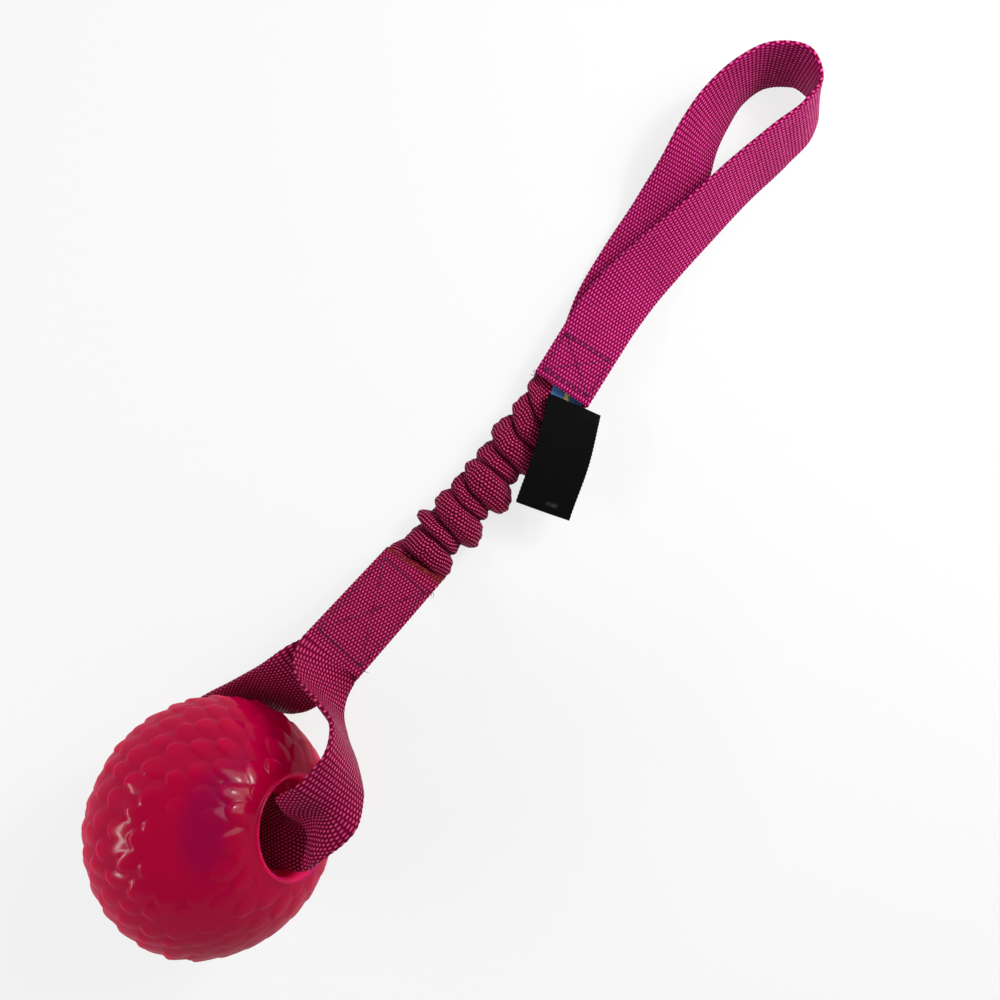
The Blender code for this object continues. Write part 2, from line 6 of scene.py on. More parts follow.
import bmesh
import bpy
import numpy as np
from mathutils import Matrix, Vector


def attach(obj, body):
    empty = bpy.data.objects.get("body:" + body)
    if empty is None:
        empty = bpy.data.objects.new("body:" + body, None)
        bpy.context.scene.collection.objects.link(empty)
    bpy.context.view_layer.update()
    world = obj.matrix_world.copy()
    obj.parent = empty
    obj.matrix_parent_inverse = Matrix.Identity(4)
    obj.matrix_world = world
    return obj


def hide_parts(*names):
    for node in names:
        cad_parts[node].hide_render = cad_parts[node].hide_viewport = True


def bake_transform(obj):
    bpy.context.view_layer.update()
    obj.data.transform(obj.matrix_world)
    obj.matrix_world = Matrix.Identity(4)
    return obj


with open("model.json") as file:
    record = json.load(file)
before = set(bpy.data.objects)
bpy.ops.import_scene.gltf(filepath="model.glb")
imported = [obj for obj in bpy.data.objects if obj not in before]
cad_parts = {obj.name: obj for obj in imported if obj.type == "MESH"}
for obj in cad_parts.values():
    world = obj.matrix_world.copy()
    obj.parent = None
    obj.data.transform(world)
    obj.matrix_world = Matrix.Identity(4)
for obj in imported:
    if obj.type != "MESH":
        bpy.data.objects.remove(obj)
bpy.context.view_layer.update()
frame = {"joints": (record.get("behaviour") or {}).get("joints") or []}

MM = 0.001
TURN = 2 * math.pi

# Camera
CAMERA_PLACE = (0.0038, -0.0040, 0.3999)
CAMERA_TURN = math.radians(40)
CAMERA_LENS = 36.0
CAMERA_SENSOR = 36.0
CAMERA_NEAR = 10 * MM

# Webbing
webbing_width = 25 * MM
webbing_thickness = 1.8 * MM
seam_gap = 0.3 * MM
ring_step = 0.4 * MM
selvedge_wave = 0.11 * MM
row_pitch = 1.6 * MM
pick_pitch = 1.25 * MM
sleeve_row_pitch = 1.5 * MM
sleeve_pick_pitch = 1.1 * MM
crown = 0.12 * MM
SELVEDGE_SHARE = 0.1
SECTION_COLUMNS = 14
SELVEDGE_POINTS = 4
PATH_STEPS = 30

# Ball
ball_radius = 45 * MM
ball_flattening = 3.4 * MM
ball_wall = 7 * MM
mouth_clearance = 3.5 * MM
lip_radius = 2.2 * MM
ball_reach = 112.2 * MM
ball_offset = 5.6 * MM
bore_turn = math.radians(41.7)
bore_lift = math.radians(29.5)
strap_clearance = 0.7 * MM

# Bungee
bungee_length = 90 * MM
bungee_height = 7.1 * MM
bungee_bend = 2.5 * MM
elastic_width = 14 * MM
elastic_thickness = 2 * MM
sleeve_wall = 0.7 * MM
sleeve_flat_width = 24 * MM
lower_shoulder = 7 * MM
upper_shoulder = 16 * MM

# Seams
lower_seam_length = 52 * MM
lower_seam_slope = math.radians(37)
lower_seam_turn = math.radians(1.2)
lower_mouth_height = 6.8 * MM
lower_sleeve_depth = 36 * MM
lower_sleeve_reach = 43.5 * MM
lower_top_setback = 1 * MM
lower_bottom_setback = 3 * MM
lower_box_start = 8 * MM
lower_ply_lead = 2 * MM
upper_seam_length = 22 * MM
upper_seam_turn = math.radians(8)
upper_sleeve_depth = 17 * MM
upper_sleeve_reach = 21 * MM
upper_seam_lift = 1.2 * MM
handle_reach = 131 * MM
stitch_margin = 2.2 * MM

# Labels
label_width = 22 * MM
label_length = 46.3 * MM
label_thickness = 0.4 * MM
ribbon_width = 18 * MM
ribbon_inset = 0.2 * MM
ribbon_clearance = 0.5 * MM
ribbon_thickness = 0.4 * MM
ribbon_root = 8 * MM
label_start = 3.4 * MM
label_turn = math.radians(23)
label_offset = 7.2 * MM
label_roll = math.radians(7)
label_step = 0.5 * MM
label_bow = 0.9 * MM
label_cut = 0.6 * MM
label_lead = 1.4 * MM
ribbon_gather_run = 22 * MM
ribbon_aside = 3.4 * MM
ribbon_short = 2 * MM
RIBBON_GATHER = 0.24
LABEL_STEPS = 24
LABEL_FOLD_POINTS = 8
label_along = np.array((math.sin(label_turn), -math.cos(label_turn), 0))
label_right = np.array((math.cos(label_turn), math.sin(label_turn), 0))
UP = np.array((0, 0, 1.0))

# The straps' cut ends, the ball loop's cup at the front mouth, and how far a strap bends past its hinge
loop_cut_run = 9 * MM
loop_cut = 3.0 * MM
hand_cut_run = 10 * MM
hand_cut = 0.5 * MM
hand_cut_past = 0.3 * MM
cup_lead = 10 * MM
cup_run = 22 * MM
cup_depth = 5.5 * MM
CUP_ASIDE = 0.12
CUP_HALF = 0.8
CUP_LEVEL = 0.40
swing_run = 22 * MM
flap_before = 2 * MM
flap_after = 3 * MM

# The front leg and the rear leg of the ball loop outside the ball. Each row is a place from the ball's centre
# in seat radii, then the direction from the right selvedge to the left one.
FRONT_LEG_SHARES = (
    ((-0.09, 1.41, 0.03), (-0.93, 0.02, 0.36)),
    ((0.01, 1.31, 0.14), (-0.79, 0.14, 0.60)),
    ((0.17, 1.27, 0.31), (-0.70, 0.31, 0.64)),
    ((0.35, 1.24, 0.50), (-0.67, 0.41, 0.62)),
    ((0.48, 1.13, 0.71), (-0.77, 0.29, 0.57)),
    ((0.52, 0.92, 0.81), (-0.95, 0.17, 0.27)),
    ((0.49, 0.71, 0.70), (-0.93, 0.35, 0.02)),
)
REAR_LEG_SHARES = (
    ((-0.58, -0.45, -0.71), (-0.89, 0.17, 0.43)),
    ((-0.60, -0.33, -0.80), (-0.92, 0.11, 0.37)),
    ((-0.60, -0.14, -0.84), (-0.95, 0.07, 0.30)),
    ((-0.59, 0.06, -0.85), (-0.97, 0.06, 0.26)),
    ((-0.55, 0.32, -0.81), (-0.94, 0.03, 0.34)),
    ((-0.49, 0.56, -0.70), (-0.89, -0.04, 0.44)),
    ((-0.41, 0.77, -0.53), (-0.89, -0.05, 0.45)),
    ((-0.33, 0.93, -0.36), (-0.95, 0.04, 0.32)),
    ((-0.26, 1.10, -0.20), (-0.97, 0.11, 0.22)),
    ((-0.21, 1.27, -0.12), (-0.98, 0.10, 0.12)),
)
# The loop inside the ball: a place along the bore in half bores, an offset from the bore's axis in mouth radii,
# then the same direction as above.
BORE_SHARES = (
    (1.02, (-0.07, -0.06, 0.26), (-0.87, 0.48, -0.12)),
    (0.70, (0.03, -0.07, 0.09), (-0.74, 0.63, -0.22)),
    (0.00, (0.00, 0.00, 0.00), (-0.76, 0.64, -0.10)),
    (-0.65, (0.04, -0.06, 0.02), (-0.83, 0.45, 0.33)),
    (-0.90, (0.04, 0.08, -0.16), (-0.85, 0.33, 0.41)),
    (-1.04, (0.02, 0.26, -0.36), (-0.86, 0.25, 0.44)),
)
# The hand loop from its bottom ply round to its top ply. Each row is a place from the upper seam's end, in
# webbing widths across and up and in hand loop reaches along, then the direction from right selvedge to left.
HAND_LOOP_SHARES = (
    ((-0.20, 0.12, 0.09), (-0.99, -0.14, 0.02)),
    ((-0.33, 0.27, 0.10), (-0.98, -0.16, 0.07)),
    ((-0.43, 0.43, 0.16), (-0.95, -0.17, 0.22)),
    ((-0.58, 0.56, 0.30), (-0.85, -0.11, 0.50)),
    ((-0.75, 0.66, 0.40), (-0.73, -0.04, 0.69)),
    ((-0.84, 0.76, 0.45), (-0.61, 0.02, 0.79)),
    ((-0.83, 0.86, 0.49), (-0.44, 0.08, 0.89)),
    ((-0.64, 0.955, 0.51), (-0.33, 0.11, 0.94)),
    ((-0.19, 1.01, 0.53), (-0.27, 0.10, 0.95)),
    ((0.25, 0.975, 0.54), (-0.31, 0.00, 0.95)),
    ((0.36, 0.91, 0.53), (-0.42, -0.04, 0.91)),
    ((0.29, 0.80, 0.50), (-0.54, -0.03, 0.84)),
    ((0.16, 0.64, 0.47), (-0.61, -0.01, 0.79)),
    ((0.08, 0.48, 0.46), (-0.69, -0.01, 0.72)),
    ((-0.01, 0.33, 0.41), (-0.82, 0.00, 0.57)),
    ((-0.06, 0.21, 0.38), (-0.91, -0.02, 0.40)),
    ((-0.06, 0.10, 0.37), (-0.98, -0.09, 0.15)),
)
# The labels' middle surface: a place along it and its height, in label lengths, then its share of the roll.
LABEL_SHARES = (
    (-0.18, 0.000, 0.0),
    (-0.04, 0.000, 0.0),
    (0.01, 0.003, 0.3),
    (0.06, 0.030, 0.9),
    (0.15, 0.095, 1.0),
    (0.28, 0.135, 1.0),
    (0.45, 0.16, 1.0),
    (0.70, 0.16, 1.0),
    (1.00, 0.13, 1.0),
)
LEVEL_SHARES = (0.10, 0.50, 0.85)
SEAM_SQUARENESS = 0.45
CORNER_CUT_SHARE = 0.25
ROUNDING_STEPS = 5

# The sleeve's folds. Each one starts, peaks and ends at places in bungee lengths and stands out by a share of
# the most, given on the right side, on top and on the left side.
FOLD_SHARES = (
    ((-0.01, 0.06, 0.137, 1.12), (0.02, 0.128, 0.153, 0.80), (0.00, 0.09, 0.161, 0.35)),
    ((0.133, 0.170, 0.203, 0.30), (0.150, 0.183, 0.217, 0.80), (0.159, 0.189, 0.233, 0.93)),
    ((0.198, 0.267, 0.336, 1.28), (0.217, 0.311, 0.337, 1.00), (0.255, 0.311, 0.361, 0.50)),
    ((0.333, 0.367, 0.398, 0.38), (0.333, 0.367, 0.400, 0.62), (0.361, 0.411, 0.459, 0.35)),
    ((0.392, 0.461, 0.536, 1.35), (0.400, 0.517, 0.542, 1.00), (0.459, 0.494, 0.533, 0.45)),
    ((0.533, 0.567, 0.611, 0.30), (0.539, 0.567, 0.611, 0.60), (0.533, 0.572, 0.639, 0.35)),
    ((0.600, 0.667, 0.733, 1.00), (0.611, 0.683, 0.717, 0.90), (0.644, 0.717, 0.781, 0.65)),
    ((0.728, 0.778, 0.822, 0.50), (0.717, 0.789, 0.833, 0.70), (0.783, 0.844, 0.900, 0.60)),
    ((0.822, 0.878, 0.933, 0.45), (0.833, 0.889, 0.933, 0.60), (0.905, 0.944, 0.983, 0.85)),
)
FOLD_LEAN = 0.3
sleeve_valley = 8.2 * MM
sleeve_valley_rise = 2.7 * MM
fold_reach = 4.4 * MM
fold_rise = 4.0 * MM
fold_neck = 0.45 * MM
row_relief = 0.16 * MM

# Plain colours, as linear shares of red, green and blue
FLOOR = (0.93, 0.93, 0.93, 1)
# Each webbing's colours are its crevices (painted shade), its sides and its tops (a painted highlight). The hand
# loop and the ball loop are one webbing: the hand loop's copy is painted lighter and more magenta for the stronger
# light on its side, and the ball loop's is painted darker for the weaker light there.
HAND_WEBBING_LIT = ((0.11, 0.0, 0.014, 1), (0.39, 0.0, 0.076, 1), (1.0, 0.10, 0.50, 1))
BALL_WEBBING_SHADED = ((0.075, 0.0, 0.008, 1), (0.245, 0.0, 0.036, 1), (0.84, 0.08, 0.27, 1))
SLEEVE = ((0.045, 0.0, 0.004, 1), (0.225, 0.0, 0.030, 1), (0.90, 0.115, 0.305, 1))
FADED = (0.12, 0.0, 0.02, 1)
CREASE_SHADE = (0.045, 0.0, 0.006, 1)
BURNT = ((0.13, 0.004, 0.006, 1), (0.24, 0.06, 0.02, 1))
THREAD = ((0.075, 0.002, 0.035, 1), (0.20, 0.006, 0.095, 1))
ELASTIC = ((0.42, 0.39, 0.34, 1), (0.80, 0.77, 0.70, 1))
RUBBER = ((0.335, 0.0, 0.031, 1), (0.37, 0.0, 0.034, 1))
RUBBER_CLOUD = (0.43, 0.001, 0.038, 1)
PAINTED_STRAP_VIEW = (0.21, 0.0, 0.052, 1)
PAINTED_LIP_LIGHT = (0.85, 0.012, 0.11, 1)
RUBBER_GLOW = (0.42, 0.0, 0.036, 1)
BLACK = ((0.0008, 0.0008, 0.0009, 1), (0.004, 0.0038, 0.0042, 1))
DUST = (0.05, 0.048, 0.05, 1)
PALE_MARK = (0.12, 0.12, 0.125, 1)
BLUE = ((0.035, 0.13, 0.34, 1), (0.075, 0.24, 0.52, 1))
GOLD = ((0.60, 0.52, 0.10, 1), (0.92, 0.86, 0.26, 1))
BLUE_SHADE = (0.03, 0.08, 0.2, 1)


# Shapes


def unit(vectors):
    return vectors / np.linalg.norm(vectors, axis=-1, keepdims=True)


def eased(share):
    """A share from 0 to 1 with a soft start and end."""
    return share * share * (3 - 2 * share)


def smooth_rows(rows, steps, places=3):
    """Rows of numbers with a smooth curve read between them; their first columns say how far apart they lie."""
    rows = np.array(rows, float)
    run = np.concatenate([[0], np.cumsum(np.linalg.norm(np.diff(rows[:, :places], axis=0), axis=1))])
    slopes = np.gradient(rows, run, axis=0)
    found = []
    for i in range(len(rows) - 1):
        length = run[i + 1] - run[i]
        for step in range(steps):
            t = step / steps
            start, end = (1 + 2 * t) * (1 - t) ** 2, t * t * (3 - 2 * t)
            leave, arrive = t * (1 - t) ** 2 * length, t * t * (t - 1) * length
            found.append(start * rows[i] + end * rows[i + 1] + leave * slopes[i] + arrive * slopes[i + 1])
    found.append(rows[-1])
    return np.array(found)


def lengths_along(places):
    return np.concatenate([[0], np.cumsum(np.linalg.norm(np.diff(places, axis=0), axis=1))])


def even_stations(line, step):
    """The line's rows read at even steps; their first three numbers are the place."""
    run = lengths_along(line[:, :3])
    at = np.linspace(0, run[-1], max(2, round(run[-1] / step) + 1))
    return np.stack([np.interp(at, run, line[:, k]) for k in range(line.shape[1])], axis=1)


def path_frames(centres, across):
    """Unit tangents, widths square to them and normals along a path."""
    tangents = unit(np.gradient(centres, axis=0))
    across = unit(across - (across * tangents).sum(1, keepdims=True) * tangents)
    return tangents, across, np.cross(across, tangents)


def rounded_line(corners):
    """A line through the corners, each cut again and again, which leaves the straight runs straight."""
    line = np.array(corners)
    for _ in range(ROUNDING_STEPS):
        cut = (line[1:] - line[:-1]) * CORNER_CUT_SHARE
        near, far = line[:-1] + cut, line[1:] - cut
        line = np.concatenate([line[:1], np.stack([near, far], axis=1).reshape(-1, 3)[1:-1], line[-1:]])
    return line


class Seam:
    """A sewn stack of plies, with its mouth, heading, width and normal."""

    def __init__(self, mouth, heading, normal, length):
        self.mouth = np.array(mouth, float)
        self.heading = unit(np.array(heading, float))
        self.normal = unit(np.array(normal, float))
        self.across = np.cross(self.normal, self.heading)
        self.length = length

    def place(self, along, up, side=0.0):
        return self.mouth + self.heading * along + self.normal * up + self.across * side


def bore_axis():
    level = math.cos(bore_lift)
    return np.array((level * math.sin(bore_turn), level * math.cos(bore_turn), math.sin(bore_lift)))


mouth_radius = webbing_width / 2 + mouth_clearance
ball_half_bore = ball_radius - ball_flattening
seat_radius = ball_radius + webbing_thickness / 2 + strap_clearance
sleeve_flat_thickness = elastic_thickness + 2 * seam_gap + 2 * sleeve_wall
ply_offset = sleeve_flat_thickness / 2 + seam_gap + webbing_thickness / 2
ribbon_offset = sleeve_flat_thickness / 2 + ribbon_clearance + ribbon_thickness / 2
upper_top_offset = ribbon_offset + ribbon_thickness / 2 + ribbon_clearance + webbing_thickness / 2

joints = {joint["name"]: joint for joint in frame["joints"]}
# The ball's centre in the toy's own frame, which has its origin on the floor under the lower seam's mouth.
own_centre = np.array(
    (
        ball_offset,
        -ball_reach,
        math.hypot(ball_radius * math.cos(bore_lift), ball_half_bore * math.sin(bore_lift)),
    )
)
ball_centre = np.array(joints["ball_spin"]["pos_m"], float)
shift = ball_centre - own_centre

level, rise = math.cos(lower_seam_slope), math.sin(lower_seam_slope)
side, back = math.sin(lower_seam_turn), math.cos(lower_seam_turn)
lower = Seam(
    shift + (0, 0, lower_mouth_height),
    (-side * level, -back * level, rise),
    (side * rise, back * rise, level),
    lower_seam_length,
)
upper = Seam(
    shift + (0, bungee_length, upper_seam_lift + webbing_thickness / 2 + ply_offset),
    (-math.sin(upper_seam_turn), math.cos(upper_seam_turn), 0),
    (0, 0, 1),
    upper_seam_length,
)


def left_of(seam):
    return -seam.across if seam.across[0] > 0 else seam.across


def ply_rows(seam, offset, stations):
    return [(*seam.place(along, offset), *left_of(seam)) for along in stations]


def ball_loop_rows():
    """Places and widths along the ball loop: top ply, front leg, bore, rear leg and bottom ply."""
    bore = bore_axis()
    stations = (lower.length / 3, lower.length * 2 / 3, lower.length, lower.length + lower_ply_lead)
    rows = ply_rows(lower, ply_offset, (lower_top_setback,) + stations)
    rows += [(*(ball_centre + seat_radius * np.array(place)), *width) for place, width in FRONT_LEG_SHARES]
    for along, offset, width in BORE_SHARES:
        place = ball_centre + bore * along * ball_half_bore + mouth_radius * np.array(offset)
        rows.append((*place, *width))
    rows += [(*(ball_centre + seat_radius * np.array(place)), *width) for place, width in REAR_LEG_SHARES]
    rows += ply_rows(lower, -ply_offset, stations[::-1] + (lower_bottom_setback,))
    return even_stations(smooth_rows(rows, PATH_STEPS), ring_step)


def hand_loop_rows():
    """Places and widths along the hand loop, from its bottom ply round to its top ply."""
    end = upper.place(upper.length, 0)
    stations = (0, upper.length / 2, upper.length)
    rows = ply_rows(upper, -ply_offset, stations)
    for (side, along, up), width in HAND_LOOP_SHARES:
        place = (end[0] + side * webbing_width, end[1] + along * handle_reach, shift[2] + up * webbing_width)
        rows.append((*place, *width))
    rows += ply_rows(upper, upper_top_offset, stations[::-1])
    return even_stations(smooth_rows(rows, PATH_STEPS), ring_step)


def linked(name, data):
    """An object with this data, put into the scene."""
    thing = bpy.data.objects.new(name, data)
    bpy.context.scene.collection.objects.link(thing)
    return thing


def set_layer(mesh, name, values):
    """Stores three numbers for each point, under a name that a material reads."""
    layer = mesh.attributes.get(name) or mesh.attributes.new(name, "FLOAT_VECTOR", "POINT")
    layer.data.foreach_set("vector", np.ascontiguousarray(values, np.float32).ravel())


def mesh_piece(name, points, faces, weave, crease=1):
    """A smooth closed piece from points and faces, with the weave's coordinates for each point.

    Crease says how far out of a crease each point lies, from 0 to 1; the sleeve's webbing is painted darker by it,
    a painted shade down in its creases."""
    mesh = bpy.data.meshes.new(name)
    mesh.from_pydata([tuple(point) for point in points], [], [tuple(face) for face in faces])
    shape = bmesh.new()
    shape.from_mesh(mesh)
    bmesh.ops.recalc_face_normals(shape, faces=shape.faces)
    if shape.calc_volume(signed=True) < 0:
        bmesh.ops.reverse_faces(shape, faces=shape.faces)
    shape.to_mesh(mesh)
    shape.free()
    mesh.shade_smooth()
    depth = np.ones(weave.shape)
    depth[:, 2] = crease
    set_layer(mesh, "weave", weave)
    set_layer(mesh, "crease", depth)
    return linked(name, mesh)


def tube_faces(rings, around, closed=False, base=0):
    """Faces between rings of points that lie one after the other."""
    faces = []
    for i in range(rings if closed else rings - 1):
        here, there = base + i * around, base + (i + 1) % rings * around
        for k in range(around):
            k_next = (k + 1) % around
            faces.append((here + k, here + k_next, there + k_next, there + k))
    return faces


def capped_tube(name, rings, around, points, weave):
    """A tube whose two ends are closed by fans round a middle point."""
    faces = tube_faces(rings, around)
    count = rings * around
    last = count - around
    for k in range(around):
        k_next = (k + 1) % around
        faces.append((count, k_next, k))
        faces.append((count + 1, last + k, last + k_next))
    points, weave = (
        np.concatenate([rows, [rows[:around].mean(0), rows[-around:].mean(0)]])
        for rows in (points.reshape(-1, 3), weave.reshape(-1, 3))
    )
    return mesh_piece(name, points, faces, weave)


def webbing_section(width, thickness):
    """A strap's section, once round: two flat faces and two round selvedges, as places across and up."""
    radius = thickness / 2
    flat = width / 2 - radius
    top = [(x, radius) for x in np.linspace(-flat, flat, SECTION_COLUMNS)]
    angles = np.linspace(math.pi / 2, -math.pi / 2, SELVEDGE_POINTS + 2)[1:-1]
    right = [(flat + radius * math.cos(a), radius * math.sin(a)) for a in angles]
    bottom = [(x, -z) for x, z in reversed(top)]
    left = [(-x, -z) for x, z in right]
    return np.array(top + right + bottom + left)


def swept(centres, across, normals, x, z):
    """Points that lie x across and z along the normal from each of a path's centres."""
    return centres[:, None, :] + across[:, None, :] * x[..., None] + normals[:, None, :] * z[..., None]


def strap(name, rows, width, thickness, cup=None, push=None, sealed=False):
    """A strap along rows of places and widths, with the weave's scallops on its selvedges, and its length.

    Cup and push say how far its points move along its normals and in space, from their run and share across."""
    centres = rows[:, :3]
    tangents, across, normals = path_frames(centres, rows[:, 3:])
    run = lengths_along(centres)
    section = webbing_section(width, thickness)
    share = section[:, 0] / (width / 2)
    at_edge = np.clip((np.abs(share) - (1 - SELVEDGE_SHARE)) / SELVEDGE_SHARE, 0, 1)
    wave = np.cos(TURN * run / row_pitch)[:, None] * selvedge_wave * at_edge * np.sign(share)
    x = section[:, 0][None, :] + wave
    z = section[:, 1][None, :] * (1 + crown / thickness * 2 * (1 - share**2)) + 0 * run[:, None]
    if cup is not None:
        z = z + cup(centres, run, share)
    points = swept(centres, across, normals, x, z)
    if push is not None:
        points = points + push(run, share, tangents)
    weave = np.zeros(points.shape)
    weave[..., 0] = x + width / 2
    weave[..., 1] = run[:, None]
    # How far each point lies from a burnt end; 1 is so far off that nothing there is burnt.
    weave[..., 2] = (run if sealed else 0 * run + 1)[:, None]
    return capped_tube(name, len(rows), len(section), points, weave), run[-1]


# Materials


class Nodes:
    """Short ways to add nodes to a material. A number or a socket may be given for any input."""

    def __init__(self, name):
        self.material = bpy.data.materials.new(name)
        self.material.use_nodes = True
        self.tree = self.material.node_tree
        self.shader = self.tree.nodes["Principled BSDF"]

    def put(self, socket, value):
        if isinstance(value, bpy.types.NodeSocket):
            self.tree.links.new(value, socket)
        else:
            socket.default_value = value

    def math(self, operation, a, b=0.0, c=0.0, clamp=False):
        node = self.tree.nodes.new("ShaderNodeMath")
        node.operation = operation
        node.use_clamp = clamp
        for socket, value in zip(node.inputs, (a, b, c)):
            self.put(socket, value)
        return node.outputs[0]

    def times(self, a, b):
        return self.math("MULTIPLY", a, b)

    def plus(self, a, b):
        return self.math("ADD", a, b)

    def away(self, value, centre):
        """How far a value lies from a centre."""
        return self.math("ABSOLUTE", self.math("SUBTRACT", value, centre))

    def ribs(self, value, pitch):
        """A wave with this pitch."""
        return self.math("SINE", self.math("MULTIPLY", value, TURN / pitch))

    def mix(self, share, a, b):
        node = self.tree.nodes.new("ShaderNodeMix")
        node.data_type = "RGBA"
        self.put(node.inputs["Factor"], share)
        self.put(node.inputs["A"], a)
        self.put(node.inputs["B"], b)
        return node.outputs["Result"]

    def between(self, value, low, high, to_low=0.0, to_high=1.0):
        """The value mapped smoothly from one range to another."""
        node = self.tree.nodes.new("ShaderNodeMapRange")
        node.interpolation_type = "SMOOTHSTEP"
        for socket, given in zip(node.inputs, (value, low, high, to_low, to_high)):
            self.put(socket, given)
        return node.outputs[0]

    def attribute(self, name):
        node = self.tree.nodes.new("ShaderNodeAttribute")
        node.attribute_name = name
        split = self.tree.nodes.new("ShaderNodeSeparateXYZ")
        self.tree.links.new(node.outputs["Vector"], split.inputs[0])
        return node.outputs["Vector"], split.outputs[0], split.outputs[1], split.outputs[2]

    def place(self):
        return self.tree.nodes.new("ShaderNodeTexCoord").outputs["Object"]

    def join(self, x, y, z=0.0):
        node = self.tree.nodes.new("ShaderNodeCombineXYZ")
        for socket, value in zip(node.inputs, (x, y, z)):
            self.put(socket, value)
        return node.outputs[0]

    def noise(self, vector, scale, detail=2.0, rough=0.5):
        node = self.tree.nodes.new("ShaderNodeTexNoise")
        self.put(node.inputs["Vector"], vector)
        node.inputs["Scale"].default_value = scale
        node.inputs["Detail"].default_value = detail
        node.inputs["Roughness"].default_value = rough
        return node.outputs["Fac"]

    def cloud(self, scale, detail):
        """Noise that stays where it is on the piece."""
        return self.noise(self.place(), scale, detail)

    def bump(self, height, distance, strength=1.0):
        node = self.tree.nodes.new("ShaderNodeBump")
        node.inputs["Strength"].default_value = strength
        node.inputs["Distance"].default_value = distance
        self.put(node.inputs["Height"], height)
        return node.outputs[0]

    def set(self, **values):
        for name, value in values.items():
            self.put(self.shader.inputs[name.replace("_", " ")], value)
        return self.material


def weave_heights(nodes, u, v, pick, row, part=1.0, lean=0.0):
    """How high each yarn stands, from 0 in the crevices to 1 on top, as rows of picks set half a pick apart.

    Part says how far apart the rows are: more than 1 leaves wider crevices between them. Lean is the share of
    the height that runs on from a pick to those beside it in the next rows."""
    along = nodes.math("DIVIDE", v, row)
    rows = nodes.math("FLOOR", along)
    offset = nodes.times(rows, 0.5)
    across = nodes.plus(nodes.math("DIVIDE", u, pick), offset)
    x = nodes.math("SUBTRACT", nodes.math("FRACT", across), 0.5)
    y = nodes.math("SUBTRACT", nodes.math("FRACT", along), 0.5)
    xx = nodes.math("POWER", nodes.times(nodes.math("ABSOLUTE", x), 1.95), 3.0)
    yy = nodes.math("POWER", nodes.times(nodes.math("ABSOLUTE", y), 2 * part), 2.2)
    left = nodes.math("SUBTRACT", 1.0, nodes.plus(xx, yy), clamp=True)
    height = nodes.math("SQRT", left)
    if lean:
        turn = nodes.math("COSINE", nodes.times(nodes.math("DIVIDE", u, pick), TURN))
        rise = nodes.math("COSINE", nodes.times(nodes.math("SUBTRACT", along, 0.5), math.pi))
        diagonal = nodes.math("MULTIPLY_ADD", nodes.times(turn, rise), -0.5, 0.5)
        height = nodes.plus(nodes.times(height, 1 - lean), nodes.times(diagonal, lean))
    return height, nodes.math("FLOOR", across), rows


def webbing_material(name, pick_size, row_size, part, lean, ridge, colours):
    """Nylon webbing: rows of shiny picks, with painted shade between them. Ridge says from which height a pick
    takes the painted highlight.

    The colours are the crevices' painted shade, the sides, and the tops' painted highlight."""
    nodes = Nodes(name)
    _, u, v, from_end = nodes.attribute("weave")
    height, pick, row = weave_heights(nodes, u, v, pick_size, row_size, part, lean)
    own = nodes.noise(nodes.join(pick, row), 0.73, 1.0)
    fibres = nodes.noise(nodes.join(nodes.times(u, 9000.0), nodes.times(v, 900.0)), 1.0, 2.0)
    soft = nodes.cloud(60.0, 3.0)
    deep, mid, top = colours
    # Painted shade and highlight: the colour runs from the crevice colour down between the picks to the pale top
    # colour on the picks' crests.
    colour = nodes.mix(nodes.between(height, 0.0, 0.75), deep, mid)
    colour = nodes.mix(nodes.between(height, ridge, 1.0), colour, top)
    shade = nodes.plus(nodes.times(own, 0.35), nodes.times(soft, 0.3))
    shade = nodes.plus(shade, nodes.times(fibres, 0.25))
    colour = nodes.mix(nodes.between(shade, 0.25, 0.65, 0.0, 0.38), colour, FADED)
    blotch = nodes.cloud(700.0, 2.0)
    burnt = nodes.mix(nodes.between(blotch, 0.5, 0.68, 0.0, 0.7), *BURNT)
    sealed = nodes.between(nodes.plus(from_end, nodes.times(own, 1 * MM)), 2.4 * MM, 3.6 * MM, 0.85, 0.0)
    colour = nodes.mix(sealed, colour, burnt)
    # Painted shade: the colour darkens towards the crease shade down in the sleeve's fold valleys.
    _, _, _, depth = nodes.attribute("crease")
    colour = nodes.mix(nodes.between(depth, 0.0, 0.5, 0.62, 0.0), colour, CREASE_SHADE)
    relief = nodes.plus(height, nodes.times(fibres, 0.12))
    gloss = nodes.between(height, 0.3, 0.95, 0.5, 0.0)
    return nodes.set(
        Base_Color=colour,
        Roughness=nodes.plus(gloss, nodes.between(fibres, 0.2, 0.8, 0.30, 0.42)),
        Specular_IOR_Level=0.17,
        Specular_Tint=(1.0, 0.35, 0.65, 1),
        Normal=nodes.bump(relief, 0.32 * MM),
    )


def thread_material(name):
    nodes = Nodes(name)
    _, u, v, _ = nodes.attribute("weave")
    twist = nodes.math("SINE", nodes.plus(nodes.times(v, 9000.0), nodes.times(u, 3.0)))
    fuzz = nodes.cloud(2500.0, 2.0)
    # Painted shade: darker in the twist's grooves.
    colour = nodes.mix(nodes.between(twist, -1.0, 1.0), *THREAD)
    return nodes.set(
        Base_Color=colour,
        Roughness=nodes.between(fuzz, 0.3, 0.7, 0.4, 0.6),
        Specular_IOR_Level=0.3,
        Normal=nodes.bump(twist, 0.08 * MM),
    )


def elastic_material(name):
    nodes = Nodes(name)
    _, u, v, _ = nodes.attribute("weave")
    ribs = nodes.ribs(u, 0.9 * MM)
    height, _, _ = weave_heights(nodes, u, v, 0.9 * MM, 0.7 * MM)
    # Painted shade: darker down between the picks, paler on their tops.
    colour = nodes.mix(height, *ELASTIC)
    return nodes.set(
        Base_Color=colour,
        Roughness=nodes.between(height, 0.0, 1.0, 0.9, 0.75),
        Normal=nodes.bump(nodes.plus(ribs, height), 0.12 * MM),
    )


